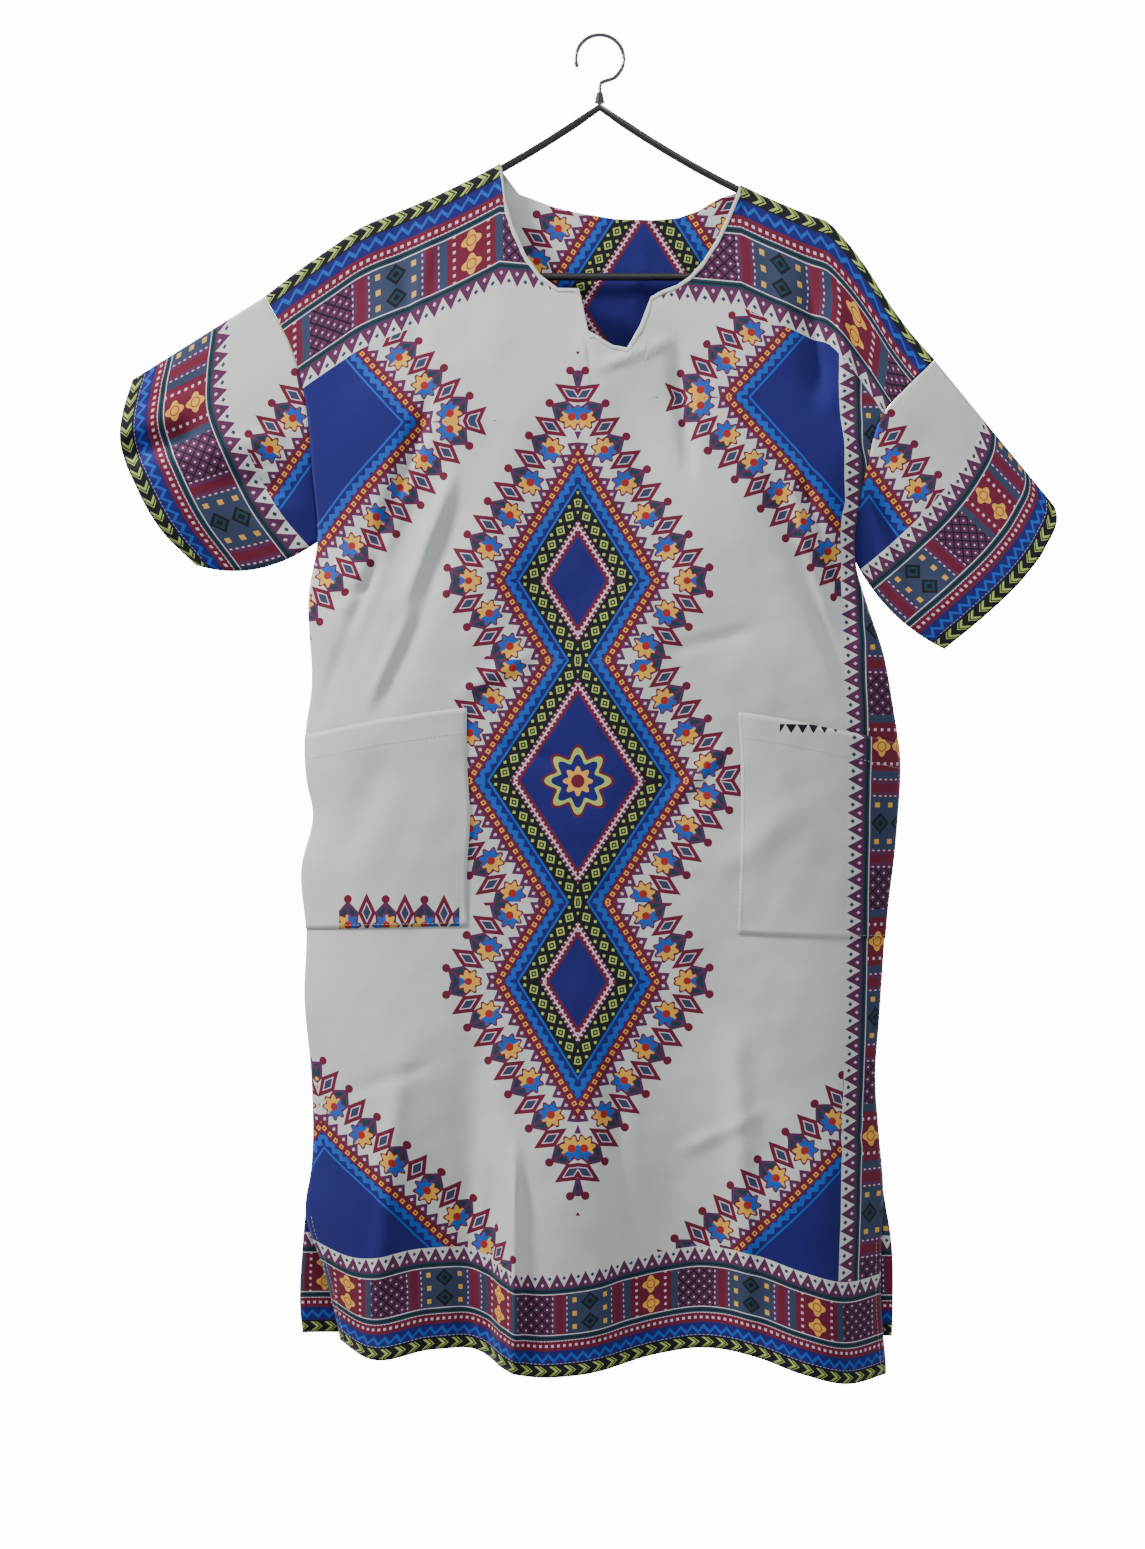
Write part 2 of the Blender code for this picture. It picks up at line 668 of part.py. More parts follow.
def hanger_hook():
    """The wire hook: a short shank, a sideways bend and an arc whose inside top is the origin."""
    middle_z = HOOK_WIRE_R - HOOK_BEND_R
    shank_foot = APEX_Z + TUBE_R + FERRULE_LENGTH + 2 * SEAM_GAP
    shank_top = shank_foot + SHANK_LENGTH
    start = math.radians(HOOK_START_DEG)
    bend_x = HOOK_BEND_R * math.cos(start)
    bend_z = middle_z + HOOK_BEND_R * math.sin(start)
    pull = 0.35 * math.dist((0, shank_top), (bend_x, bend_z))
    controls = (
        (0.0, shank_top),
        (0.0, shank_top + pull),
        (bend_x - pull * -math.sin(start), bend_z - pull * math.cos(start)),
        (bend_x, bend_z),
    )
    path = [(0.0, 0.0, shank_foot)]
    for t in np.linspace(0, 1, 8)[:-1]:
        weights = ((1 - t) ** 3, 3 * t * (1 - t) ** 2, 3 * t * t * (1 - t), t**3)
        x = sum(w * c[0] for w, c in zip(weights, controls))
        z = sum(w * c[1] for w, c in zip(weights, controls))
        path.append((x, 0.0, z))
    for turn in np.linspace(start, math.radians(HOOK_TIP_DEG), 22):
        x, z = HOOK_BEND_R * math.cos(turn), middle_z + HOOK_BEND_R * math.sin(turn)
        path.append((x, 0.0, z))
    return tube("hanger_hook", path, HOOK_WIRE_R, False, 10, DARK_STEEL)


def hanger_ferrule():
    """The short collar that stands on the frame's apex and carries the hook."""
    foot = APEX_Z + TUBE_R + SEAM_GAP
    bpy.ops.mesh.primitive_cone_add(
        vertices=20,
        radius1=FERRULE_R,
        radius2=FERRULE_R * 0.62,
        depth=FERRULE_LENGTH,
        location=(0, 0, foot + FERRULE_LENGTH / 2),
    )
    made = bpy.context.object
    for collection in made.users_collection:
        collection.objects.unlink(made)
    made.name = "hanger_ferrule"
    made.data.name = made.name
    parts.objects.link(made)
    made.data.materials.append(material(*BLACK_PLASTIC))
    return made


for old in list(bpy.data.objects):
    bpy.data.objects.remove(old)
parts = bpy.data.collections.new("dashiki_shirt_on_hanger")
bpy.context.scene.collection.children.link(parts)

front_panel = Panel(
    "front_panel", -1, FRONT_LEFT_SLIT, FRONT_RIGHT_SLIT, FRONT_HEM, FRONT_NECK, FRONT_FOLDS, ROWS
)
back_panel = Panel(
    "back_panel", 1, BACK_LEFT_SLIT, BACK_RIGHT_SLIT, BACK_HEM, BACK_NECK, BACK_FOLDS, BACK_ROWS
)
pocket_edges = (LEFT_POCKET_INNER_U, RIGHT_POCKET_INNER_U)
front_columns = stations_of(front_panel, FRONT_NECK_X, pocket_edges)
front_panel.lay_out(front_columns)
back_panel.lay_out(stations_of(back_panel, BACK_NECK_X, ()))
for panel in (front_panel, back_panel):
    panel_cloth(panel)
sleeve("sleeve_left", front_panel, back_panel, LEFT_SLEEVE, 0)
sleeve("sleeve_right", front_panel, back_panel, RIGHT_SLEEVE, -1)
pocket("pocket_left", front_panel, 0, front_columns.index(LEFT_POCKET_INNER_U))
pocket("pocket_right", front_panel, front_columns.index(RIGHT_POCKET_INNER_U), len(front_columns) - 1)
hanger_frame()
hanger_ferrule()
hanger_hook()
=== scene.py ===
import math

import bpy
import numpy as np
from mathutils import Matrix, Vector, noise


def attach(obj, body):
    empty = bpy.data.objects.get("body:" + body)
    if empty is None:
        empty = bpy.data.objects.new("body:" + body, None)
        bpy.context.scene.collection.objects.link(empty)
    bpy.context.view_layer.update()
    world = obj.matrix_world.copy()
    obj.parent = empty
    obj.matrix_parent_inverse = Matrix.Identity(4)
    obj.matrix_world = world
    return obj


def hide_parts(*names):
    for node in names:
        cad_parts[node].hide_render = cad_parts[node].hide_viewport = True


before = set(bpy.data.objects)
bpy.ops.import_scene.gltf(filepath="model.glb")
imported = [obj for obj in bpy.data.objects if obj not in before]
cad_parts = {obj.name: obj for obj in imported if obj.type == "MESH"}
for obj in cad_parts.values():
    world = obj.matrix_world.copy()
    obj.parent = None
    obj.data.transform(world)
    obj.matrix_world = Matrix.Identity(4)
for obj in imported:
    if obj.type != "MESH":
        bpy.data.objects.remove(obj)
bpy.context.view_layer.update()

# The shirt's shape, as in the solids: metres, front towards -Y, origin inside the hanger's hook.

hanger = {"tubeR": 0.0035, "apexZ": -0.0639, "steep": 0.7066, "flatten": 0.863, "reach": 0.193}
wallRoom = 0.0015  # the solid's wall and its gap to the tube
clothR = hanger["tubeR"] + wallRoom
seamHalf = 0.00135
shell = 0.0007  # the visible cloth's thickness

leftEdge = [
    (-0.2358, -0.3042), (-0.2835, -0.2790), (-0.3258, -0.2673), (-0.3960, -0.2601), (-0.4590, -0.2565),
    (-0.5040, -0.2640), (-0.5940, -0.2619), (-0.6345, -0.2673), (-0.6750, -0.2655), (-0.7038, -0.2600),
    (-0.7560, -0.2705), (-0.8100, -0.2664), (-0.8730, -0.2682), (-0.9450, -0.2619), (-1.0260, -0.2619),
    (-1.0665, -0.2673),
]
rightEdge = [
    (-0.2934, 0.3042), (-0.3186, 0.2780), (-0.3402, 0.2585), (-0.3906, 0.2412), (-0.4275, 0.2340),
    (-0.4770, 0.2322), (-0.5220, 0.2450), (-0.5580, 0.2570), (-0.6030, 0.2655), (-0.6480, 0.2718),
    (-0.7290, 0.2682), (-0.7830, 0.2619), (-0.8910, 0.2538), (-0.9450, 0.2502), (-0.9990, 0.2538),
    (-1.0440, 0.2574),
]
leftCalm = [(-1.200, -0.2640), (-0.470, -0.2640), (-0.2358, -0.3042)]
rightCalm = [(-1.200, 0.2450), (-0.800, 0.2600), (-0.480, 0.2620), (-0.2934, 0.3042)]
leftShoulder = [(-0.3042, -0.2358), (-0.2772, -0.2150), (-0.2403, -0.1890), (-0.2180, -0.1740), (-0.2080, -0.1690)]
rightShoulder = [
    (0.2080, -0.1690), (0.2180, -0.1790), (0.2457, -0.2150), (0.2628, -0.2420), (0.2835, -0.2700), (0.3042, -0.2934),
]
neckLeft, neckRight = -0.0909, 0.1278
frontNeck = [
    (-0.0860, -0.1476), (-0.0792, -0.1710), (-0.0675, -0.1985), (-0.0540, -0.2178), (-0.0380, -0.2300),
    (-0.0189, -0.2304), (-0.0108, -0.2690), (0.0110, -0.2826), (0.0243, -0.2853), (0.0360, -0.2646),
    (0.0459, -0.2385), (0.0560, -0.2326), (0.0693, -0.2277), (0.0810, -0.2196), (0.0927, -0.2061),
    (0.1062, -0.1845), (0.1161, -0.1634),
]
backNeck = [
    (-0.0733, -0.1418), (-0.0420, -0.1535), (-0.0167, -0.1593), (0.0144, -0.1643), (0.0495, -0.1652),
    (0.0711, -0.1634), (0.0887, -0.1575), (0.1080, -0.1458),
]
depths = [
    (-1.20, 0.034, 0.013), (-1.00, 0.030, 0.012), (-0.70, 0.026, 0.011), (-0.45, 0.022, 0.010),
    (-0.30, 0.016, 0.009), (-0.20, 0.010, 0.007), (-0.10, 0.004, 0.003),
]
hemWaves = [
    (-0.270, 0.000), (-0.200, 0.008), (-0.140, -0.018), (-0.112, -0.022), (-0.088, 0.010), (-0.066, 0.016),
    (0.000, 0.008), (0.045, -0.014), (0.085, -0.020), (0.135, -0.008), (0.180, 0.010), (0.215, 0.018), (0.270, 0.004),
]
lineStations = (0.0, 0.268, 0.50, 0.733, 1.0)
underarmLine = (-0.4590, -0.4620, -0.4660, -0.4710, -0.4770)
mouthLine = (-0.6340, -0.6100, -0.6080, -0.6140, -0.6420)
footLine = (-0.8100, -0.8060, -0.8080, -0.8130, -0.8190)

front = {
    "name": "front_cloth", "node": "front_panel", "out": -1,
    "left": sorted(leftEdge + [(-1.116, -0.2520), (-1.161, -0.2403), (-1.205, -0.2320)]),
    "right": sorted(rightEdge + [(-1.098, 0.2556), (-1.152, 0.2556), (-1.205, 0.2600)]),
    "hem": [
        (0.00, -1.1830), (0.05, -1.1935), (0.20, -1.1870), (0.28, -1.1880), (0.36, -1.2030), (0.47, -1.2040),
        (0.62, -1.1910), (0.69, -1.1865), (0.78, -1.1920), (0.86, -1.2060), (0.94, -1.2170), (1.00, -1.2140),
    ],
    "neck": frontNeck, "depth": 1,
    "folds": [  # x0, z0, x1, z1, width, height: the solid's own
        (-0.150, -0.380, -0.242, -0.610, 0.015, -0.0075), (-0.124, -0.420, -0.206, -0.620, 0.014, -0.0060),
        (-0.178, -0.400, -0.228, -0.570, 0.014, 0.0045), (0.148, -0.390, 0.228, -0.580, 0.014, -0.0070),
        (0.185, -0.230, 0.196, -0.340, 0.011, -0.0065), (0.198, -0.470, 0.246, -0.610, 0.012, -0.0055),
        (-0.190, -0.650, -0.240, -0.745, 0.020, -0.0050), (0.020, -0.300, 0.062, -0.520, 0.020, -0.0030),
        (-0.060, -0.300, -0.110, -0.520, 0.022, 0.0030), (0.100, -0.760, 0.190, -0.690, 0.014, 0.0030),
    ],
    "creases": [  # finer ones
        (-0.153, -0.333, -0.207, -0.477, 0.0075, -0.0034), (-0.198, -0.469, -0.231, -0.548, 0.0060, -0.0032),
        (-0.231, -0.548, -0.258, -0.625, 0.0060, -0.0030), (-0.164, -0.510, -0.211, -0.612, 0.0060, 0.0026),
        (-0.130, -0.396, -0.180, -0.530, 0.0060, 0.0022), (-0.205, -0.500, -0.250, -0.512, 0.0045, -0.0018),
        (0.181, -0.404, 0.200, -0.466, 0.0065, -0.0040), (0.200, -0.466, 0.230, -0.546, 0.0065, -0.0044),
        (0.190, -0.513, 0.228, -0.604, 0.0060, -0.0030), (0.172, -0.420, 0.210, -0.540, 0.0060, 0.0026),
        (0.067, -0.280, 0.082, -0.404, 0.0070, -0.0022), (-0.005, -0.305, 0.067, -0.277, 0.0040, 0.0016),
        (-0.198, -0.153, -0.162, -0.279, 0.0075, -0.0030), (-0.150, -0.170, -0.170, -0.260, 0.0070, 0.0022),
        (0.185, -0.190, 0.200, -0.330, 0.0065, -0.0040), (0.214, -0.230, 0.226, -0.330, 0.0060, 0.0032),
        (0.160, -0.180, 0.170, -0.270, 0.0065, 0.0018), (-0.0765, -1.000, -0.0760, -1.210, 0.0060, 0.0045),
        (-0.096, -1.020, -0.100, -1.210, 0.0070, -0.0040), (0.010, -0.900, 0.020, -1.190, 0.0120, -0.0026),
        (0.120, -0.900, 0.135, -1.190, 0.0110, 0.0026), (-0.180, -0.930, -0.205, -1.180, 0.0100, 0.0022),
        (-0.060, -0.560, -0.130, -0.600, 0.0055, 0.0012), (0.060, -0.560, 0.140, -0.540, 0.0055, -0.0012),
        (0.060, -0.700, 0.115, -0.640, 0.0060, 0.0012), (-0.112, -0.640, -0.030, -0.660, 0.0050, -0.0009),
        (-0.240, -0.960, -0.150, -0.930, 0.0055, -0.0012), (0.070, -1.010, 0.150, -0.970, 0.0055, 0.0012),
    ],
    "columns": 150, "rows": (14, 44, 30, 40, 74),
}
back = {
    "name": "back_cloth", "node": "back_panel", "out": 1,
    "left": sorted(leftEdge + [(-1.110, -0.2710), (-1.150, -0.2727), (-1.205, -0.2660)]),
    "right": sorted(rightEdge + [(-1.098, 0.2655), (-1.152, 0.2664), (-1.205, 0.2646)]),
    "hem": [(0.0, -1.1770), (0.3, -1.1830), (0.5, -1.1810), (0.75, -1.1870), (1.0, -1.1800)],
    "neck": backNeck, "depth": 2,
    "folds": [
        (-0.120, -0.260, -0.215, -0.560, 0.018, -0.0045), (0.110, -0.260, 0.200, -0.560, 0.018, -0.0045),
        (-0.060, -0.560, -0.085, -1.180, 0.026, 0.0050), (0.070, -0.600, 0.095, -1.180, 0.024, 0.0045),
        (0.010, -0.640, 0.000, -1.180, 0.026, -0.0045),
    ],
    "creases": [
        (-0.160, -0.300, -0.222, -0.500, 0.0080, -0.0028), (0.150, -0.280, 0.216, -0.470, 0.0080, -0.0030),
        (-0.185, -0.200, -0.170, -0.300, 0.0080, 0.0024), (0.190, -0.210, 0.200, -0.320, 0.0080, -0.0028),
        (-0.150, -0.640, -0.180, -1.160, 0.0130, -0.0028), (0.150, -0.700, 0.170, -1.170, 0.0120, -0.0030),
        (0.030, -0.560, 0.045, -1.100, 0.0110, 0.0024), (-0.020, -0.800, -0.040, -1.170, 0.0100, -0.0022),
        (-0.090, -0.480, -0.010, -0.500, 0.0060, 0.0012), (0.020, -0.700, 0.110, -0.670, 0.0060, -0.0012),
        (0.020, -0.185, 0.070, -0.215, 0.0050, 0.0014), (0.045, -0.175, 0.030, -0.250, 0.0050, -0.0012),
    ],
    "columns": 110, "rows": (12, 34, 22, 28, 54),
}


def ease(t):
    t = np.clip(t, 0.0, 1.0)
    return t * t * (3 - 2 * t)


def through(points, at):  # a smooth curve through points in rising order, level beyond its ends
    places, values = np.array(points, float).T
    slopes = np.gradient(values, places)
    i = np.clip(np.searchsorted(places, at) - 1, 0, len(places) - 2)
    width = places[i + 1] - places[i]
    t = np.clip((at - places[i]) / width, 0.0, 1.0)
    rise = values[i + 1] - values[i]
    start, end = slopes[i] * width, slopes[i + 1] * width
    return values[i] + t * (start + t * ((3 * rise - 2 * start - end) + t * (start + end - 2 * rise)))


def armHeight(x):
    reach = np.abs(x)
    return hanger["apexZ"] - hanger["steep"] * reach + hanger["flatten"] * reach * reach


def overTube(x):
    return clothR * np.hypot(1, hanger["steep"] - 2 * hanger["flatten"] * np.minimum(np.abs(x), hanger["reach"]))


def onHanger(x):
    return armHeight(x) + overTube(x)


def shoulderHeight(x):
    reach = hanger["reach"]
    left = through(leftShoulder + [(-reach, onHanger(-reach))], x)
    right = through([(reach, onHanger(reach))] + rightShoulder, x)
    share = (x - neckLeft) / (neckRight - neckLeft)
    across = onHanger(neckLeft) * (1 - share) + onHanger(neckRight) * share
    middle = np.where((x > neckLeft) & (x < neckRight), across, onHanger(x))
    return np.where(x < -reach, left, np.where(x > reach, right, middle))


def xAt(panel, u, z):
    left, right = through(leftCalm, z), through(rightCalm, z)
    x = left + u * (right - left) + (through(panel["left"], z) - left) * (1 - u) ** 4
    return x + (through(panel["right"], z) - right) * u**4


def edgeHeight(panel, x):
    corners = [(neckLeft, onHanger(neckLeft)), (neckLeft + 0.0022, armHeight(neckLeft))]
    corners += panel["neck"] + [(neckRight - 0.0022, armHeight(neckRight)), (neckRight, onHanger(neckRight))]
    inNeck = (x > neckLeft) & (x < neckRight)
    return np.where(inNeck, np.interp(x, *zip(*corners)), shoulderHeight(x))


def topOf(panel, u):
    z = np.full_like(u, hanger["apexZ"])
    for _ in range(60):
        z += 0.5 * (edgeHeight(panel, xAt(panel, u, z)) - z)
    return z


def stationAt(panel, x, z=None):
    z = float(edgeHeight(panel, np.array(x))) if z is None else z
    low, high = 0.0, 1.0
    for _ in range(40):
        middle = (low + high) / 2
        low, high = (middle, high) if xAt(panel, middle, z) < x else (low, middle)
    return (low + high) / 2


creaseEnds = {"past": 0.1, "fade": 0.35}  # as shares of a crease's length


def creaseSum(lines, x, z):
    total = np.zeros_like(x)
    for x0, z0, x1, z1, width, height in lines:
        alongX, alongZ = x1 - x0, z1 - z0
        length = math.hypot(alongX, alongZ)
        share = ((x - x0) * alongX + (z - z0) * alongZ) / length**2
        aside = ((x - x0) * alongZ - (z - z0) * alongX) / length
        start = ease((share + creaseEnds["past"]) / creaseEnds["fade"])
        end = ease((1 + creaseEnds["past"] - share) / creaseEnds["fade"])
        total += height * np.exp(-((aside / width) ** 2)) * start * end
    return total


def roughness(x, z, scale, seed):  # small uneven rises all over the cloth
    flat = [noise.noise(Vector((a * scale, b * scale, seed))) for a, b in zip(x.ravel(), z.ravel())]
    return np.array(flat).reshape(x.shape)


drape = {
    "seam": 0.00015, "neckLift": 0.0016, "neckTurn": 0.001, "neckFade": 0.015, "armholeEnd": 0.55, "bulge": 0.010,
    "hangsBy": 0.20, "wavesFrom": -0.80, "wavesOver": 0.37, "backWaves": -0.25, "creases": 1.9,
    "broad": 0.0040, "broadScale": 11, "small": 0.0009, "smallScale": 38, "fineBy": 0.03, "fineNearTop": 0.25,
}


def standoff(panel, u, z):  # how far the cloth stands off the middle plane
    x = xAt(panel, u, z)
    below = np.maximum(0.0, shoulderHeight(x) - z)
    turn = np.arccos(np.clip(1 - below / overTube(x), -1, 1) * (below < overTube(x)))
    tube = drape["seam"] + (clothR - drape["seam"]) * np.sin(turn)
    past = np.minimum(x - neckLeft, neckRight - x)
    lift = drape["neckLift"] * ease(past / drape["neckTurn"]) * ease(2 - below / drape["neckFade"])
    tube += np.where(past > 0, lift, 0)
    sideways = np.abs(2 * u - 1)
    start = np.where(u < 0.5, leftEdge[0][0], rightEdge[0][0])
    line = np.where(u < 0.5, underarmLine[0], underarmLine[-1])
    armhole = (start - z) / (start - line)
    pinch = (clothR - seamHalf) * ease((armhole - drape["armholeEnd"]) / (1 - drape["armholeEnd"])) * sideways**10
    bulge = drape["bulge"] * np.sin(math.pi * np.clip(armhole, 0, 1)) * sideways**4
    full = through([(row[0], row[panel["depth"]]) for row in depths], z)
    share = ease((drape["wavesFrom"] - z) / drape["wavesOver"])
    wave = through(hemWaves, x) * share * (1 if panel["out"] < 0 else drape["backWaves"])
    fine = drape["creases"] * creaseSum(panel["creases"], x, z)
    fine += drape["broad"] * roughness(x, z * 0.7, drape["broadScale"], 3.1 * panel["out"])
    fine += drape["small"] * roughness(x, z, drape["smallScale"], 7.7)
    body = full + creaseSum(panel["folds"], x, z) + wave + fine
    hung = body * ease(below / drape["hangsBy"]) * (1 - sideways**5)
    nearTop = fine * drape["fineNearTop"] * ease(below / drape["fineBy"]) * (1 - sideways**8)
    return tube - pinch + bulge + hung + nearTop


def layOut(panel):  # a grid of points, columns from the left, each from the top down
    steps = (0.0, 0.0011, 0.0022)
    turns = [neckLeft + step for step in steps] + [neckRight - step for step in steps]
    notch = [point[0] for point in panel["neck"]]
    fixed = [stationAt(panel, x) for x in turns + notch] + [0.268, 0.733]
    u = np.unique(np.round(np.concatenate([np.linspace(0, 1, panel["columns"]), fixed]), 6))
    keep = [0]
    for i in range(1, len(u)):  # drops evenly spaced columns that crowd a fixed one
        near = min(abs(u[i] - f) for f in fixed)
        if near > 0.0016 or i == len(u) - 1 or near < 1e-6:
            keep.append(i)
    u = u[keep]
    top = topOf(panel, u)
    wrap = overTube(xAt(panel, u, top))
    heights = [top - wrap * (1 - math.cos(turn)) for turn in np.linspace(0, math.pi / 2, panel["rows"][0])]
    lines = [list(zip(lineStations, line)) for line in (underarmLine, mouthLine, footLine)] + [panel["hem"]]
    for line, count in zip(lines, panel["rows"][1:]):
        start, end = heights[-1], through(line, u)
        heights += [start + (end - start) * (i + 1) / count for i in range(count)]
    z = np.array(heights).T
    uu = np.repeat(u[:, None], z.shape[1], axis=1)
    x = xAt(panel, uu, z)
    y = panel["out"] * standoff(panel, uu, z)
    panel["u"], panel["grid"] = u, np.stack([x, y, z], axis=2)
    panel["cloth"] = clothPlaces(panel)
    panel["reach"] = np.stack([(shoulderHeight(x) - z) * 0.94, z - z[:, -1:], 0 * x], axis=2)


def clothPlaces(panel):  # where each point lies on the cloth laid flat
    x, y, z = np.moveaxis(panel["grid"], 2, 0)
    acrossStep = np.hypot(np.diff(x, axis=0), np.diff(y, axis=0) * 0.8)
    across = np.vstack([np.zeros((1, x.shape[1])), np.cumsum(acrossStep, axis=0)])
    middle = int(np.argmin(np.abs(panel["u"] - 0.45)))
    across += (x - across)[middle : middle + 1]
    downStep = np.hypot(np.diff(z, axis=1), np.diff(y, axis=1) * 0.8)
    down = np.hstack([np.zeros((len(x), 1)), np.cumsum(downStep, axis=1)])
    level = sum(panel["rows"][:2])
    down = z[:, level : level + 1] - (down - down[:, level : level + 1])
    return np.stack([across, down, np.zeros_like(x)], axis=2)


def sheetObject(name, grid, layers, flip, thick, around=False):  # a cloth from a grid of points and its attributes
    grid = np.array(grid)
    if flip:
        grid, layers = grid[::-1], {key: value[::-1] for key, value in layers.items()}
    columns, rows = grid.shape[:2]
    bpy.ops.mesh.primitive_grid_add(x_subdivisions=columns - 1, y_subdivisions=rows - 1, size=1)
    made = bpy.context.object
    made.name = made.data.name = name
    order = lambda values: np.ascontiguousarray(np.transpose(values[:, ::-1], (1, 0, 2)), np.float32).ravel()
    made.data.vertices.foreach_set("co", order(grid))
    for key, value in layers.items():
        layer = made.data.attributes.new(key, "FLOAT_VECTOR", "POINT")
        layer.data.foreach_set("vector", order(value))
    made.data.update()
    if around:
        bpy.ops.object.mode_set(mode="EDIT")
        bpy.ops.mesh.select_all(action="SELECT")
        bpy.ops.mesh.remove_doubles(threshold=0.00002)
        bpy.ops.object.mode_set(mode="OBJECT")
    bpy.ops.object.shade_smooth()
    if thick:
        wall = made.modifiers.new("wall", "SOLIDIFY")
        wall.thickness, wall.offset, wall.use_even_offset = thick, -1, True
        bpy.ops.object.modifier_apply(modifier=wall.name)
    return made


def gridNormals(grid, out):
    normals = np.cross(np.gradient(grid, axis=0), np.gradient(grid, axis=1))
    normals /= np.linalg.norm(normals, axis=2, keepdims=True)
    return normals * np.sign(normals[..., 1:2] * out + 1e-9)


# Node graphs for the printed cloth, built from small sums.


class Sum:
    def __init__(self, tree, socket):
        self.tree, self.socket = tree, socket

    def op(self, kind, *others):
        node = self.tree.nodes.new("ShaderNodeMath")
        node.operation = kind
        for place, value in enumerate((self,) + others):
            if isinstance(value, Sum):
                self.tree.links.new(value.socket, node.inputs[place])
            else:
                node.inputs[place].default_value = value
        return Sum(self.tree, node.outputs[0])

    def __add__(self, other):
        return self.op("ADD", other)

    def __sub__(self, other):
        return self.op("SUBTRACT", other)

    def __mul__(self, other):
        return self.op("MULTIPLY", other)

    def __truediv__(self, other):
        return self.op("DIVIDE", other)

    def __lt__(self, other):
        return self.op("LESS_THAN", other)

    def __gt__(self, other):
        return self.op("GREATER_THAN", other)

    def __abs__(self):
        return self.op("ABSOLUTE")

    def least(self, other):
        return self.op("MINIMUM", other)

    def most(self, other):
        return self.op("MAXIMUM", other)

    def cell(self, period, shift=0.0):  # -period/2 to period/2, again and again
        moved = self + shift if shift else self
        return moved.op("WRAP", period / 2, -period / 2)

    def within(self, low, high):
        return (self > low) * (self < high)

    def pick(self, other, mask):  # self, or other where mask is 1
        return self + (self * -1 + other) * mask


def linear(r, g, b):
    return tuple(c / 255 / 12.92 if c <= 10 else ((c / 255 + 0.055) / 1.055) ** 2.4 for c in (r, g, b)) + (1.0,)


inks = {
    "ground": linear(205, 208, 203), "royal": linear(22, 20, 104), "blue": linear(14, 82, 176),
    "wine": linear(104, 18, 46), "plum": linear(88, 36, 76), "ochre": linear(222, 166, 66),
    "lime": linear(166, 188, 92), "slate": linear(48, 60, 88), "night": linear(12, 15, 24),
    "teal": linear(18, 54, 70), "pale": linear(212, 186, 204), "rust": linear(156, 36, 34),
}


class Print:
    def __init__(self, name, rough=0.82):
        self.material = bpy.data.materials.new(name)
        self.material.use_nodes = True
        self.tree = self.material.node_tree
        self.shader = self.tree.nodes["Principled BSDF"]
        self.shader.inputs["Roughness"].default_value = rough
        self.shader.inputs["Specular IOR Level"].default_value = 0.25
        self.shader.inputs["Sheen Weight"].default_value = 0.12
        self.colour = None

    def places(self, attribute):
        node = self.tree.nodes.new("ShaderNodeAttribute")
        node.attribute_name = attribute
        apart = self.tree.nodes.new("ShaderNodeSeparateXYZ")
        self.tree.links.new(node.outputs["Vector"], apart.inputs[0])
        return [Sum(self.tree, apart.outputs[i]) for i in range(3)]

    def texture(self, kind, attribute, **numbers):
        node = self.tree.nodes.new(kind)
        source = self.tree.nodes.new("ShaderNodeAttribute")
        source.attribute_name = attribute
        self.tree.links.new(source.outputs["Vector"], node.inputs["Vector"])
        for key, value in numbers.items():
            node.inputs[key].default_value = value
        return Sum(self.tree, node.outputs[0])

    def ground(self, attribute):
        stain = self.texture("ShaderNodeTexNoise", attribute, Scale=7.0, Detail=4.0, Roughness=0.65)
        self.colour = inks["ground"]
        self.paint(linear(176, 181, 182), (stain - 0.40).most(0.0) * 1.6)

    def paint(self, ink, mask):
        node = self.tree.nodes.new("ShaderNodeMix")
        node.data_type = "RGBA"
        self.tree.links.new(mask.socket, node.inputs[0])
        for place, value in ((6, self.colour), (7, ink)):
            if isinstance(value, tuple):
                node.inputs[place].default_value = value
            elif isinstance(value, str):
                node.inputs[place].default_value = inks[value]
            else:
                self.tree.links.new(value, node.inputs[place])
        self.colour = node.outputs[2]

    def finish(self, attribute, bump=0.35):
        s, t, _ = self.places(attribute)
        warp = (s * 2600).op("SINE") * (t * 2300).op("SINE")
        crumple = self.texture("ShaderNodeTexNoise", attribute, Scale=70.0, Detail=4.0, Roughness=0.55)
        height = warp * 0.00003 + crumple * 0.0011
        node = self.tree.nodes.new("ShaderNodeBump")
        node.inputs["Strength"].default_value = bump
        node.inputs["Distance"].default_value = 1.0
        self.tree.links.new(height.socket, node.inputs["Height"])
        self.tree.links.new(node.outputs[0], self.shader.inputs["Normal"])
        self.tree.links.new(self.colour, self.shader.inputs["Base Color"])
        return self.material


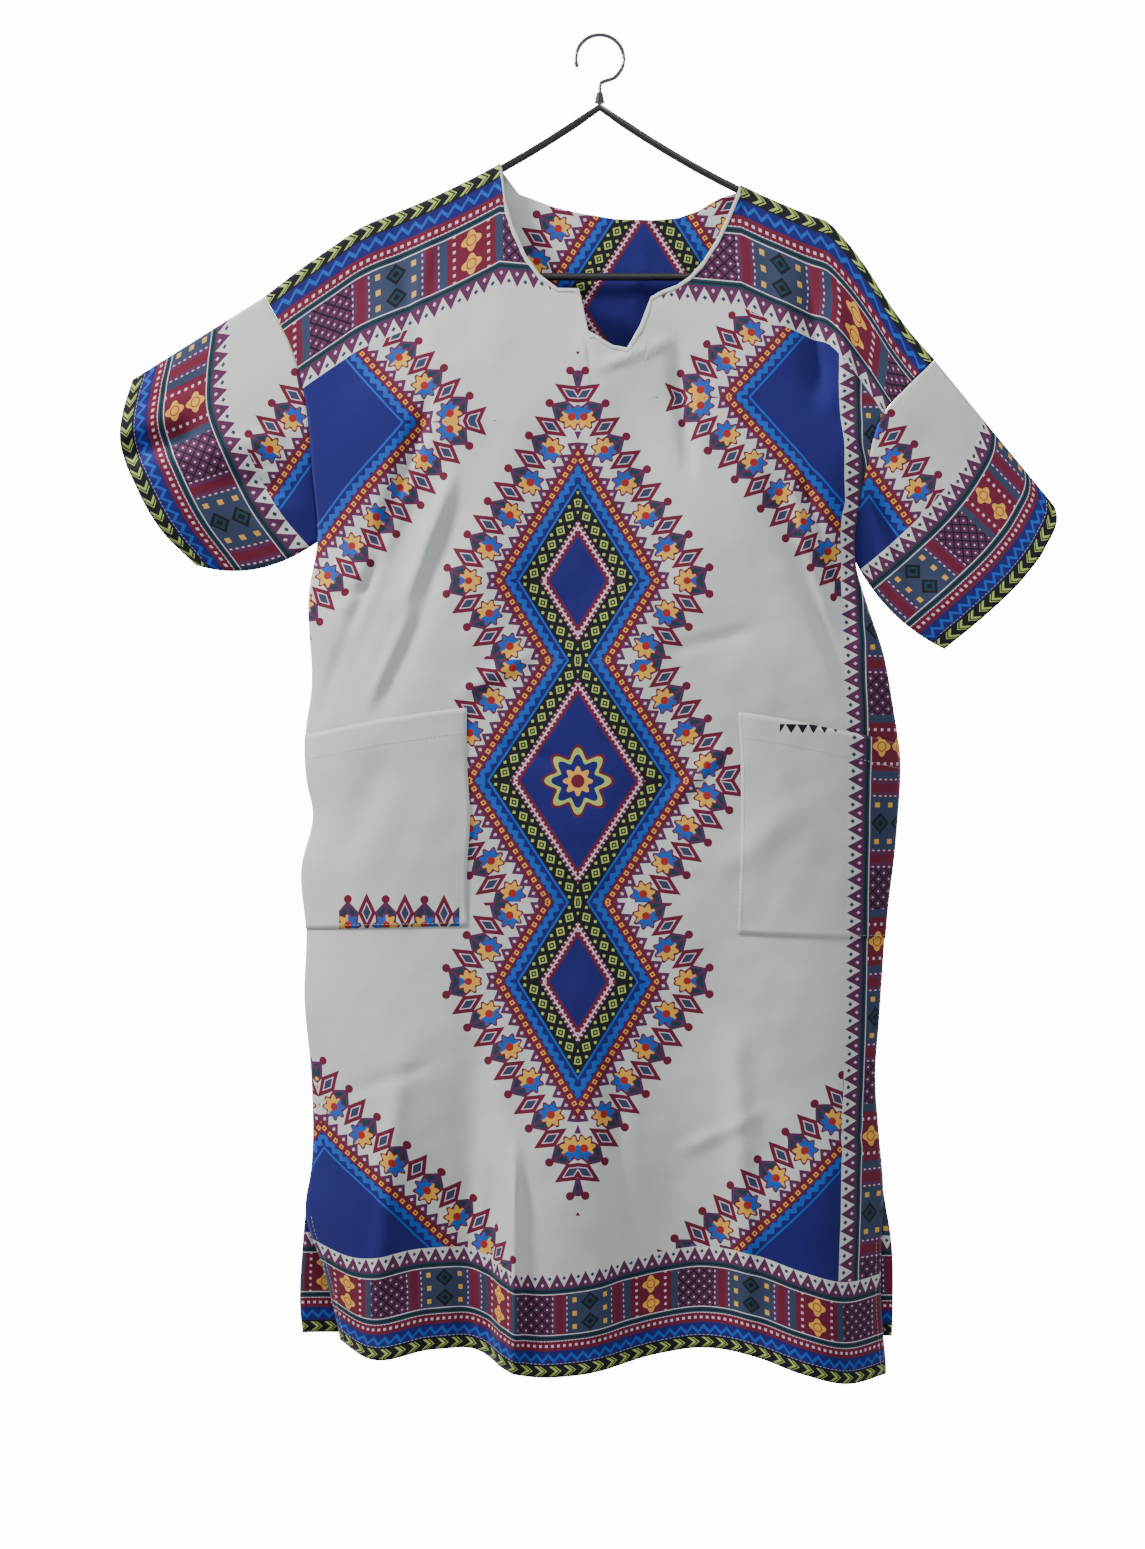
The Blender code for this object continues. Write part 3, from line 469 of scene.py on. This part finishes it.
def lozenges(p, s, t, shapes):  # rings of motifs around the outlines of lozenges
    edge, along, deep = None, None, None
    for cx, cz, a, b, plain in shapes:
        long = math.hypot(a, b)
        x, z = abs(s - cx), abs(t - cz)
        e = (x * (b / long) + z * (a / long)) - a * b / long
        q = z * (b / long) - x * (a / long)
        if edge is None:
            edge, along, deep = e, q, e * 0 + plain
            continue
        nearer = e < edge
        edge, along, deep = edge.pick(e, nearer), along.pick(q, nearer), deep.pick(plain, nearer)
    fringe(p, edge, along)
    teeth = abs(along.cell(0.0125)) * -1.35 + 0.0105
    p.paint("plum", (edge < teeth) * (edge > 0.0))
    p.paint("pale", (abs(along.cell(0.0125)) + abs(edge - 0.0035) * 0.8 < 0.0016))
    p.paint("wine", edge < 0.0015)
    p.paint("ochre", (abs(along.cell(0.0075)).most(abs(edge + 0.0035)) < 0.0020))
    p.paint("wine", (abs(along.cell(0.0075)).most(abs(edge + 0.0035)) < 0.0009))
    p.paint("royal", edge < -0.0075)
    zigzag = abs(along.cell(0.009)) * 0.9 - 0.0130
    p.paint("blue", (abs(edge - zigzag) < 0.0028) * (edge < -0.0080))
    p.paint("blue", edge.within(-0.0190, -0.0172))
    inner = (edge < -0.0190) * (deep < 0.5)
    p.paint("night", inner)
    lattice = abs(along.cell(0.0150)) + abs(edge + 0.0265) * 1.1
    p.paint("lime", inner * lattice.within(0.0032, 0.0052))
    p.paint("lime", inner * (lattice < 0.0014))
    p.paint("lime", inner * (abs(along.cell(0.0150, 0.0075)) + abs(abs(edge + 0.0265) - 0.0048) < 0.0018))
    inner = (edge < -0.0345) * (deep < 0.5)
    p.paint("wine", inner)
    p.paint("pale", inner * (abs(along.cell(0.0048)) < 0.0008) * (edge > -0.0395))
    p.paint("pale", inner * edge.within(-0.0380, -0.0368))
    inner = (edge < -0.0420) * (deep < 0.5)
    p.paint("royal", inner)


def fringe(p, edge, along, where=None):  # leaves and eight-petalled rosettes by turns
    here = edge.within(0.0, 0.050) if where is None else edge.within(0.0, 0.050) * where
    leaf = abs(along.cell(0.035)) * 2.1 + abs(edge - 0.0310)
    p.paint("wine", here * (leaf < 0.0175))
    p.paint("pale", here * leaf.within(0.0075, 0.0095))
    p.paint("slate", here * (leaf < 0.0075))
    side = abs(abs(along.cell(0.035)) - 0.0082 - (edge - 0.018) * 0.42)
    p.paint("plum", here * (side * 1.9 + abs(edge - 0.0310) < 0.0120))
    p.paint("teal", here * (side * 1.9 + abs(edge - 0.0310) < 0.0060))
    x, y = along.cell(0.035, 0.0175), edge - 0.0195
    far = (x * x + y * y).op("SQRT")
    petal = (y.op("ARCTAN2", x) * 8).op("COSINE") * 0.0018 + 0.0092
    other = along.cell(0.070, 0.0175) > 0
    p.paint("wine", here * (far < petal + 0.0018))
    p.paint("ochre", here * (far < petal))
    p.paint("blue", here * (far < petal) * other)
    p.paint("rust", here * (far < 0.0036))
    p.paint("plum", here * (abs(x) < 0.0013) * edge.within(0.0290, 0.0420))
    p.paint("wine", here * ((x * x + (edge - 0.0430) * (edge - 0.0430)).op("SQRT") < 0.0038))


bands = {"wide": 0.1060, "hemScale": 0.86, "side": 0.328}  # side: where its outer edge would lie, across the front


def border(p, along, across, where):  # the printed border, across from its outer edge
    def on(low, high):
        return where * across.within(low, high)

    p.paint("ground", on(-0.01, bands["wide"]))
    p.paint("night", on(-0.01, 0.0130))
    slant = (along + abs(across - 0.0065) * 1.3).cell(0.0150)
    p.paint("lime", on(0.0015, 0.0115) * (abs(slant) < 0.0017))
    p.paint("lime", on(0.0015, 0.0115) * (abs(slant - 0.0042) < 0.0007))
    p.paint("royal", on(0.0130, 0.0270))
    p.paint("blue", on(0.0140, 0.0260) * (abs(abs(along.cell(0.012)) * 1.1 - (across - 0.0165)) < 0.0019))
    p.paint("wine", on(0.0270, 0.0370))
    p.paint("pale", on(0.0270, 0.0370) * (abs(along.cell(0.0062)).most(abs(across - 0.0320)) < 0.0014))
    for middle in (0.0400, 0.0880):
        p.paint("pale", on(middle - 0.0036, middle + 0.0036) * (abs(along.cell(0.0036)) < 0.0011))
        p.paint("teal", on(middle - 0.0026, middle + 0.0026))
        p.paint("night", on(middle - 0.0006, middle + 0.0006))
    p.paint("slate", on(0.0436, 0.0844))
    place = along.cell(0.176)
    mid = across - 0.0640
    strip = where * (abs(mid) < 0.0204)
    hatch = place.within(-0.088, -0.050)
    p.paint("plum", strip * hatch)
    cross = abs((place + mid).cell(0.0110)).least(abs((place - mid).cell(0.0110)))
    p.paint("night", strip * hatch * (cross < 0.0010))
    spot = abs((place + mid).cell(0.0110, 0.0055)).most(abs((place - mid).cell(0.0110, 0.0055)))
    p.paint("pale", strip * hatch * (spot < 0.0011))
    rails = place.within(-0.050, -0.034).most(place.within(0.014, 0.030))
    p.paint("wine", strip * rails)
    p.paint("plum", strip * rails * (abs(place.cell(0.016, 0.002)) < 0.0042))
    p.paint("pale", strip * rails * (abs(place.cell(0.016, 0.002)).most(abs(mid.cell(0.0056))) < 0.0012))
    gems = abs(place + 0.010) * 0.95 + abs(mid.cell(0.0204, 0.0102))
    p.paint("night", strip * place.within(-0.034, 0.014) * (gems < 0.0092))
    p.paint("teal", strip * (gems < 0.0062))
    p.paint("night", strip * (gems < 0.0032))
    spots = abs(abs(place + 0.010) - 0.0165).most(abs(mid.cell(0.0136)) * 0.9) < 0.0022
    p.paint("ochre", strip * place.within(-0.034, 0.014) * spots)
    star = place.within(0.030, 0.088)
    p.paint("wine", strip * star * (abs(place - 0.059) < 0.0220))
    x, y = place - 0.059, mid.cell(0.0204, 0.0102)
    flower = (x * x + y * y).op("SQRT")
    petal = (y.op("ARCTAN2", x) * 4).op("COSINE") * 0.0016 + 0.0076
    p.paint("ochre", strip * star * (flower < petal))
    p.paint("rust", strip * star * flower.within(0.0036, 0.0046))
    p.paint("pale", strip * star * (abs(abs(place - 0.059) - 0.0155).most(abs(mid.cell(0.0068))) < 0.0013))
    teeth = on(0.0906, bands["wide"])
    p.paint("plum", teeth * (abs(along.cell(0.0150)) * 1.9 < (across * -1 + bands["wide"])))
    p.paint("pale", teeth * (abs(along.cell(0.0150)) + abs(across - 0.0945) * 0.8 < 0.0016))
    p.paint("slate", teeth * (abs(along.cell(0.0150, 0.0075)) + abs(across - 0.1010) < 0.0022))


def sideBorder(p, s, t):
    border(p, t, s * -1 + bands["side"], s > bands["side"] - bands["wide"])


def panelPrint(name, shapes, star, bandFrom):
    p = Print(name)
    p.ground("cloth")
    s, t, _ = p.places("cloth")
    top, hem, _ = p.places("reach")
    lozenges(p, s, t, shapes)
    for cx, cz, size in star:  # an eight-petalled flower in the middle of the largest lozenge
        x, y = s - cx, t - cz
        far = (x * x + y * y).op("SQRT") / size
        lobes = (y.op("ARCTAN2", x) * 8).op("COSINE") * 0.16 + 0.84
        p.paint("wine", far < lobes + 0.10)
        p.paint("lime", far < lobes)
        p.paint("royal", far < lobes * 0.80)
        p.paint("ochre", far < lobes * 0.45)
        p.paint("wine", far < 0.20)
    sideBorder(p, s, t)
    border(p, s / bands["hemScale"], hem / bands["hemScale"], hem < bands["wide"] * bands["hemScale"])
    border(p, s, top, (top < bands["wide"]) * (abs(s - 0.0185) > bandFrom))
    return p.finish("cloth")


print("laying out the panels")
for panel in (front, back):
    layOut(panel)
frontShapes = [
    (-0.020, -0.676, 0.102, 0.155, 0.0), (-0.020, -0.496, 0.075, 0.120, 0.0), (-0.020, -0.856, 0.075, 0.120, 0.0),
    (-0.262, -1.110, 0.128, 0.128, 1.0), (0.228, -1.122, 0.128, 0.128, 1.0),
    (-0.275, -0.352, 0.120, 0.135, 1.0), (0.232, -0.330, 0.120, 0.135, 1.0),
]
backShapes = [
    (0.040, -0.245, 0.102, 0.155, 0.0), (0.040, -0.425, 0.075, 0.120, 0.0),
    (-0.255, -1.100, 0.128, 0.128, 1.0), (0.255, -1.100, 0.128, 0.128, 1.0), (0.000, -0.800, 0.075, 0.120, 0.0),
]
front["material"] = panelPrint("front_print", frontShapes, [(-0.020, -0.676, 0.030)], -1.0)
back["material"] = panelPrint("back_print", backShapes, [(0.000, -0.800, 0.016)], 0.118)
for panel in (front, back):
    layers = {"cloth": panel["cloth"], "reach": panel["reach"]}
    made = sheetObject(panel["name"], panel["grid"], layers, panel["out"] > 0, shell)
    made.data.materials.append(panel["material"])
    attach(made, "root")
    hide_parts(panel["node"])
print("panels made")

# Sleeves: tubes from the armholes' own points.

sleeves = [
    {
        "name": "left_sleeve_cloth", "node": "sleeve_left", "column": 0, "sag": (0.0, -0.014),
        "flat": (0.47, 0.17),
        "cuff": [
            (-0.4230, -0.3105), (-0.4311, -0.3420), (-0.4329, -0.3700), (-0.4185, -0.4095), (-0.3960, -0.4500),
            (-0.3672, -0.4797),
        ],
        "folds": [(0.55, 0.40, 1.05, 0.36, 0.060, -0.009), (0.00, 0.80, 0.60, 0.62, 0.060, -0.006)],
        "creases": [
            (0.60, 0.43, 1.05, 0.40, 0.030, -0.0045), (0.10, 0.95, 0.55, 0.70, 0.035, -0.0035),
            (0.05, 0.55, 0.60, 0.50, 0.030, 0.0022), (0.00, 0.72, 0.35, 0.60, 0.025, -0.0026),
            (0.50, 0.20, 1.0, 0.16, 0.030, -0.0020),
        ],
        "shapes": [(-0.252, -0.432, 0.062, 0.085, 1.0)],
    },
    {
        "name": "right_sleeve_cloth", "node": "sleeve_right", "column": -1, "sag": (-0.006, -0.007),
        "flat": (0.47, 0.17),
        "cuff": [
            (0.4122, -0.4257), (0.4140, -0.4365), (0.4032, -0.4635), (0.3825, -0.4920), (0.3510, -0.5235),
            (0.3132, -0.5560),
        ],
        "folds": [(0.00, 0.62, 0.70, 0.80, 0.060, -0.006), (0.10, 0.30, 0.90, 0.22, 0.070, -0.004)],
        "creases": [
            (0.05, 0.66, 0.60, 0.86, 0.030, -0.0040), (0.00, 0.45, 0.55, 0.60, 0.030, 0.0026),
            (0.30, 0.10, 1.00, 0.20, 0.035, -0.0026), (0.10, 0.85, 0.50, 0.95, 0.030, -0.0030),
        ],
        "shapes": [(0.243, -0.468, 0.060, 0.080, 1.0)],
    },
]


def sleeveGrid(sleeve, steps=64, sideSteps=46):  # rings from the armhole out to the cuff
    shares = np.linspace(0, 1, sideSteps)
    shares = np.concatenate([np.linspace(0, shares[2], 8)[:-1], shares[2:]])
    cuff = np.array(sleeve["cuff"])
    lengths = np.concatenate([[0], np.cumsum(np.hypot(*np.diff(cuff, axis=0).T))])
    cuffAt = lengths / lengths[-1]
    endX = through(list(zip(cuffAt, cuff[:, 0])), shares)
    endZ = through(list(zip(cuffAt, cuff[:, 1])), shares)
    sides = []
    for panel in (front, back):
        rows = sum(panel["rows"][:2])
        edge = panel["grid"][sleeve["column"]][:rows]
        run = np.concatenate([[0], np.cumsum(np.hypot(np.diff(edge[:, 0]), np.diff(edge[:, 2])))])
        start = np.stack([np.interp(shares, run / run[-1], edge[:, i]) for i in range(3)], axis=1)
        along = np.linspace(0, 1, steps)[:, None]
        sag = 4 * along * (1 - along) * shares**3
        way = np.hypot(endX - start[:, 0], endZ - start[:, 2])
        lead = along + (1 - along) * 0.0003 / way
        x = start[:, 0] + (endX - start[:, 0]) * lead + sleeve["sag"][0] * sag
        z = start[:, 2] + (endZ - start[:, 2]) * lead + sleeve["sag"][1] * sag
        rounder = 0.007 * np.sin(math.pi * shares) * along + (0.0028 - seamHalf) * shares**6 * along
        spread = ease(along / 0.25) * np.sqrt(np.sin(math.pi * shares).clip(0))
        strength = 1 if panel["out"] < 0 else 0.6
        lines = sleeve["creases"] + (sleeve["folds"] if panel["out"] < 0 else [])
        outward, around = np.broadcast_to(along, x.shape), np.broadcast_to(shares, x.shape)
        crease = creaseSum(lines, outward, around) * strength + 0.0010 * roughness(x, z, 18, 5.0 * panel["out"])
        y = start[:, 1] + panel["out"] * (rounder + crease * spread)
        y = y * (shares > 0)
        across = np.broadcast_to(shares * 0.21, x.shape) * (-panel["out"])
        left = (1 - along) * way
        sides.append([np.stack([x, y, z], 2), np.stack([x, z, 0 * x], 2), np.stack([across, left, 0 * x], 2)])
    ring = []
    for a, b in zip(*sides):
        ring.append(np.concatenate([a[:, ::-1], b[:, 1:], a[:, -1:]], axis=1).transpose(1, 0, 2))
    return ring


for sleeve in sleeves:
    grid, cloth, reach = sleeveGrid(sleeve)
    sleeve["grid"] = grid
    made = sheetObject(sleeve["name"], grid, {"cloth": cloth, "reach": reach}, sleeve["column"] == 0, shell, True)
    p = Print(sleeve["name"] + "_print")
    p.ground("cloth")
    s, t, _ = p.places("cloth")
    around, cuffReach, _ = p.places("reach")
    lozenges(p, s, t, sleeve["shapes"])
    border(p, around, cuffReach, cuffReach < bands["wide"])
    made.data.materials.append(p.finish("cloth"))
    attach(made, "root")
    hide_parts(sleeve["node"])
    sleeve["object"] = made
print("sleeves made")

# Patch pockets from the front's own points, moved out.

pockets = [
    {"name": "left_pocket_cloth", "node": "pocket_left", "from": 0.0, "to": 0.268, "flat": (0.16, 0.20)},
    {"name": "right_pocket_cloth", "node": "pocket_right", "from": 0.733, "to": 1.0, "flat": (0.155, 0.21)},
]
pocketForm = {"gape": 0.009, "lift": 0.0012, "ripple": 0.0004}
frontNormals = gridNormals(front["grid"], -1)
for pocket in pockets:
    first, last = (int(np.argmin(np.abs(front["u"] - pocket[end]))) for end in ("from", "to"))
    mouth = sum(front["rows"][:3]) - 1
    foot = mouth + front["rows"][3]
    part = (slice(first, last + 1), slice(mouth, foot + 1))
    across = ((front["u"][first : last + 1] - front["u"][first]) / (front["u"][last] - front["u"][first]))[:, None]
    down = np.linspace(0, 1, foot - mouth + 1)[None, :]
    gape = pocketForm["gape"] * np.sin(math.pi * across).clip(0) ** 0.7 * (1 - down) ** 1.4
    ripple = pocketForm["ripple"] * np.sin(across * 21 + down * 9) * np.sin(math.pi * down)
    lift = pocketForm["lift"] + gape + ripple
    grid = front["grid"][part] + lift[..., None] * frontNormals[part]
    pocket["grid"] = grid
    layers = {"cloth": front["cloth"][part], "reach": front["reach"][part]}
    made = sheetObject(pocket["name"], grid, layers, False, shell)
    p = Print(pocket["name"] + "_print")
    p.ground("cloth")
    s, t, _ = p.places("cloth")
    if pocket["from"] == 0.0:
        where = s.within(-0.236, -0.126)
        fringe(p, (t + 0.8260), s, where * (t < -0.760))
    else:
        sideBorder(p, s, t)
        teeth = abs(s.cell(0.0100)) * 1.6 < (t + 0.6330)
        p.paint("night", teeth * (t < -0.6250) * s.within(0.160, 0.212))
    made.data.materials.append(p.finish("cloth"))
    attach(made, "root")
    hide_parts(pocket["node"])
    pocket["object"] = made
print("pockets made")

# Sewing: short raised threads along the hems, seams and pockets.


def plainMaterial(name, colour, rough, metal=0.0, coat=0.0):
    made = bpy.data.materials.new(name)
    made.use_nodes = True
    shader = made.node_tree.nodes["Principled BSDF"]
    shader.inputs["Base Color"].default_value = colour
    shader.inputs["Roughness"].default_value = rough
    shader.inputs["Metallic"].default_value = metal
    shader.inputs["Coat Weight"].default_value = coat
    return made


thread = plainMaterial("white_thread", linear(188, 188, 182), 0.8)


def inset(grid, out, column=None, row=None, depth=0.004):  # a line beside a grid's edge, just off its surface
    normals = gridNormals(grid, out)
    if row is None:
        grid, normals = grid.transpose(1, 0, 2), normals.transpose(1, 0, 2)
    if -1 in (column, row):
        grid, normals = grid[:, ::-1], normals[:, ::-1]
    lines, norms = [], []
    for path, n in zip(grid, normals):
        run = np.concatenate([[0], np.cumsum(np.linalg.norm(np.diff(path, axis=0), axis=1))])
        lines.append([np.interp(depth, run, path[:, k]) for k in range(3)])
        norms.append([np.interp(depth, run, n[:, k]) for k in range(3)])
    return np.array(lines), np.array(norms)


sewing = {
    "pitch": 0.0038, "length": 0.0027, "radius": 0.00022, "hem": 0.012, "slit": 0.007, "slitTop": -1.066,
    "neck": 0.0042, "pocketMouth": 0.023, "pocketEdge": 0.003, "cuff": 0.014,
}


def stitches(rows):  # a small raised bar for each stitch
    length, radius = sewing["length"], sewing["radius"]
    verts, faces = [], []
    for path, norms in rows:
        run = np.concatenate([[0], np.cumsum(np.linalg.norm(np.diff(path, axis=0), axis=1))])
        for start in np.arange(0.002, run[-1] - length, sewing["pitch"]):
            ends = [np.array([np.interp(at, run, path[:, k]) for k in range(3)]) for at in (start, start + length)]
            up = np.array([np.interp(start, run, norms[:, k]) for k in range(3)])
            up /= np.linalg.norm(up)
            ahead = ends[1] - ends[0]
            ahead /= np.linalg.norm(ahead)
            side = np.cross(ahead, up)
            base = len(verts)
            middle = (ends[0] + ends[1]) / 2
            for at, rise in ((ends[0], 0.0), (middle, 1.0), (ends[1], 0.0)):
                for turn in range(4):
                    angle = turn * math.pi / 2 + math.pi / 4
                    size = radius * (1.0 if rise else 0.55)
                    corner = math.cos(angle) * side * 1.3 + math.sin(angle) * up
                    verts.append(at + up * (radius * rise) + size * corner)
            for k in (0, 4):
                for turn in range(4):
                    a, b = base + k + turn, base + k + (turn + 1) % 4
                    faces.append((a, b, b + 4, a + 4))
            faces.append((base + 3, base + 2, base + 1, base))
            faces.append((base + 8, base + 9, base + 10, base + 11))
    return verts, faces


def stitchObject(name, rows):
    verts, faces = stitches(rows)
    bpy.ops.mesh.primitive_plane_add(size=0.001)
    made = bpy.context.object
    made.name = made.data.name = name
    made.data.clear_geometry()
    made.data.from_pydata([tuple(v) for v in verts], [], faces)
    made.data.materials.append(thread)
    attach(made, "root")
    return made


def panelSeams(panel):  # hem, both slits and the neck
    grid, out = panel["grid"], panel["out"]
    slit = int(np.argmin(np.abs(grid[0][:, 2] - sewing["slitTop"])))
    rows = [inset(grid, out, row=-1, depth=sewing["hem"])]
    for column in (0, -1):
        rows.append(tuple(part[slit:] for part in inset(grid, out, column=column, depth=sewing["slit"])))
    span = (grid[:, 0, 0] > neckLeft + 0.0015) & (grid[:, 0, 0] < neckRight - 0.0015)
    line, norm = inset(grid, out, row=0, depth=sewing["neck"])
    return rows + [(line[span], norm[span])]


stitchObject("front_stitches", panelSeams(front))
stitchObject("back_stitches", panelSeams(back))
for pocket in pockets:
    inner = -1 if pocket["from"] == 0.0 else 0
    rows = [
        inset(pocket["grid"], -1, row=0, depth=sewing["pocketMouth"]),
        inset(pocket["grid"], -1, row=-1, depth=sewing["pocketEdge"]),
        inset(pocket["grid"], -1, column=inner, depth=sewing["pocketEdge"]),
    ]
    stitchObject(pocket["name"].replace("cloth", "stitches"), rows)
for sleeve in sleeves:
    grid = sleeve["grid"]
    half = grid.shape[0] // 2
    rows = [
        inset(grid[2 : half - 3], -1, row=-1, depth=sewing["cuff"]),
        inset(grid[half + 4 : -3], 1, row=-1, depth=sewing["cuff"]),
    ]
    stitchObject(sleeve["name"].replace("cloth", "stitches"), rows)
print("stitches made")

# The neck's turned edge: a narrow raised strip along the cut.

edgeCloth = plainMaterial("turned_edge", linear(206, 206, 200), 0.85)


neckEdge = {
    "width": 0.0034, "lift": 0.0005, "steepest": 4.0,
    "profile": ((0.0, 1.0), (0.25, 1.5), (0.75, 1.4), (1.0, 0.9)),  # share of the width, share of the lift
}


def neckStrip(name, panel):
    width, lift = neckEdge["width"], neckEdge["lift"]
    profile = [(across, lift * rise) for across, rise in neckEdge["profile"]]
    profile = [(0.0, -0.0003)] + profile + [(1.0, -0.0002)]
    grid = panel["grid"]
    inside = np.where((grid[:, 0, 0] > neckLeft + 0.0005) & (grid[:, 0, 0] < neckRight - 0.0005))[0]
    normals = gridNormals(grid, panel["out"])
    columns = []
    slopes = np.gradient(grid[:, 0, 2], grid[:, 0, 0])
    for i in inside:
        path, n = grid[i], normals[i]
        drop = width * min(math.hypot(1, slopes[i]), neckEdge["steepest"])
        run = np.concatenate([[0], np.cumsum(np.linalg.norm(np.diff(path, axis=0), axis=1))])
        column = []
        for across, rise in profile:
            at = across * drop
            point = np.array([np.interp(at, run, path[:, k]) for k in range(3)])
            up = np.array([np.interp(at, run, n[:, k]) for k in range(3)])
            column.append(point + up * rise)
        columns.append(column)
    strip = np.array(columns)
    made = sheetObject(name, strip, {"cloth": strip[..., [0, 2, 1]]}, panel["out"] > 0, 0.0)
    made.data.materials.append(edgeCloth)
    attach(made, "root")
    return made


neckStrip("front_neck_edge", front)
neckStrip("back_neck_edge", back)
print("neck edges made")

# The hanger keeps its solids, with better finishes.

plastic = plainMaterial("hanger_black", linear(28, 28, 32), 0.28, coat=0.3)
steel = plainMaterial("hook_steel", linear(120, 122, 126), 0.25, metal=1.0)
for name, finish in (("hanger_frame", plastic), ("hanger_ferrule", plastic), ("hanger_hook", steel)):
    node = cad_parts[name]
    node.data.materials.clear()
    node.data.materials.append(finish)

flats = {"front_cloth": (0.62, 1.09), "back_cloth": (0.62, 1.09)}
for part in sleeves + pockets:
    flats[part["object"].name] = part["flat"]
for name, flat in flats.items():
    rests = ["hanger_frame"] if name in ("front_cloth", "back_cloth") else ["front_cloth"]

# Light, white surroundings and camera.


def areaLight(name, place, aim, size, power, colour=(1, 1, 1)):
    bpy.ops.object.light_add(type="AREA", location=place)
    light = bpy.context.object
    light.name = name
    light.data.size = size
    light.data.energy = power
    light.data.color = colour
    light.rotation_euler = (Vector(aim) - Vector(place)).to_track_quat("-Z", "Y").to_euler()
    return light


areaLight("key", (-1.9, -0.75, 0.8), (0, 0, -0.68), 0.5, 84, (1.0, 0.99, 0.97))
areaLight("fill", (1.6, -1.8, -0.3), (0, 0, -0.7), 1.8, 7, (0.94, 0.97, 1.0))
areaLight("top", (0.2, -0.6, 0.9), (0, 0, -0.3), 0.6, 10)
areaLight("behind", (1.5, 1.5, 0.6), (0, 0, -0.65), 0.8, 40)
surroundings = {"seen": 14.0, "light": 0.50, "tint": (0.92, 0.95, 1.0, 1)}
world = bpy.data.worlds.new("studio")
world.use_nodes = True
worldTree = world.node_tree
lit = worldTree.nodes["Background"]
lit.inputs[0].default_value = surroundings["tint"]
lit.inputs[1].default_value = surroundings["light"]
seen = worldTree.nodes.new("ShaderNodeBackground")
seen.inputs[0].default_value = (1, 1, 1, 1)
seen.inputs[1].default_value = surroundings["seen"]
ray = worldTree.nodes.new("ShaderNodeLightPath")
mixed = worldTree.nodes.new("ShaderNodeMixShader")
worldTree.links.new(ray.outputs["Is Camera Ray"], mixed.inputs[0])
worldTree.links.new(lit.outputs[0], mixed.inputs[1])
worldTree.links.new(seen.outputs[0], mixed.inputs[2])
worldTree.links.new(mixed.outputs[0], worldTree.nodes["World Output"].inputs[0])
bpy.context.scene.world = world

shot = {"middle": (-0.0248, -0.670), "height": 1.3941, "distance": 2.4, "plane": -0.022}
bpy.ops.object.camera_add(
    location=(shot["middle"][0], shot["plane"] - shot["distance"], shot["middle"][1]), rotation=(math.pi / 2, 0, 0)
)
camera = bpy.context.object
camera.data.sensor_fit = "VERTICAL"
camera.data.angle = 2 * math.atan(shot["height"] / 2 / shot["distance"])
camera.data.dof.use_dof = False
bpy.context.scene.camera = camera
print("stage made")
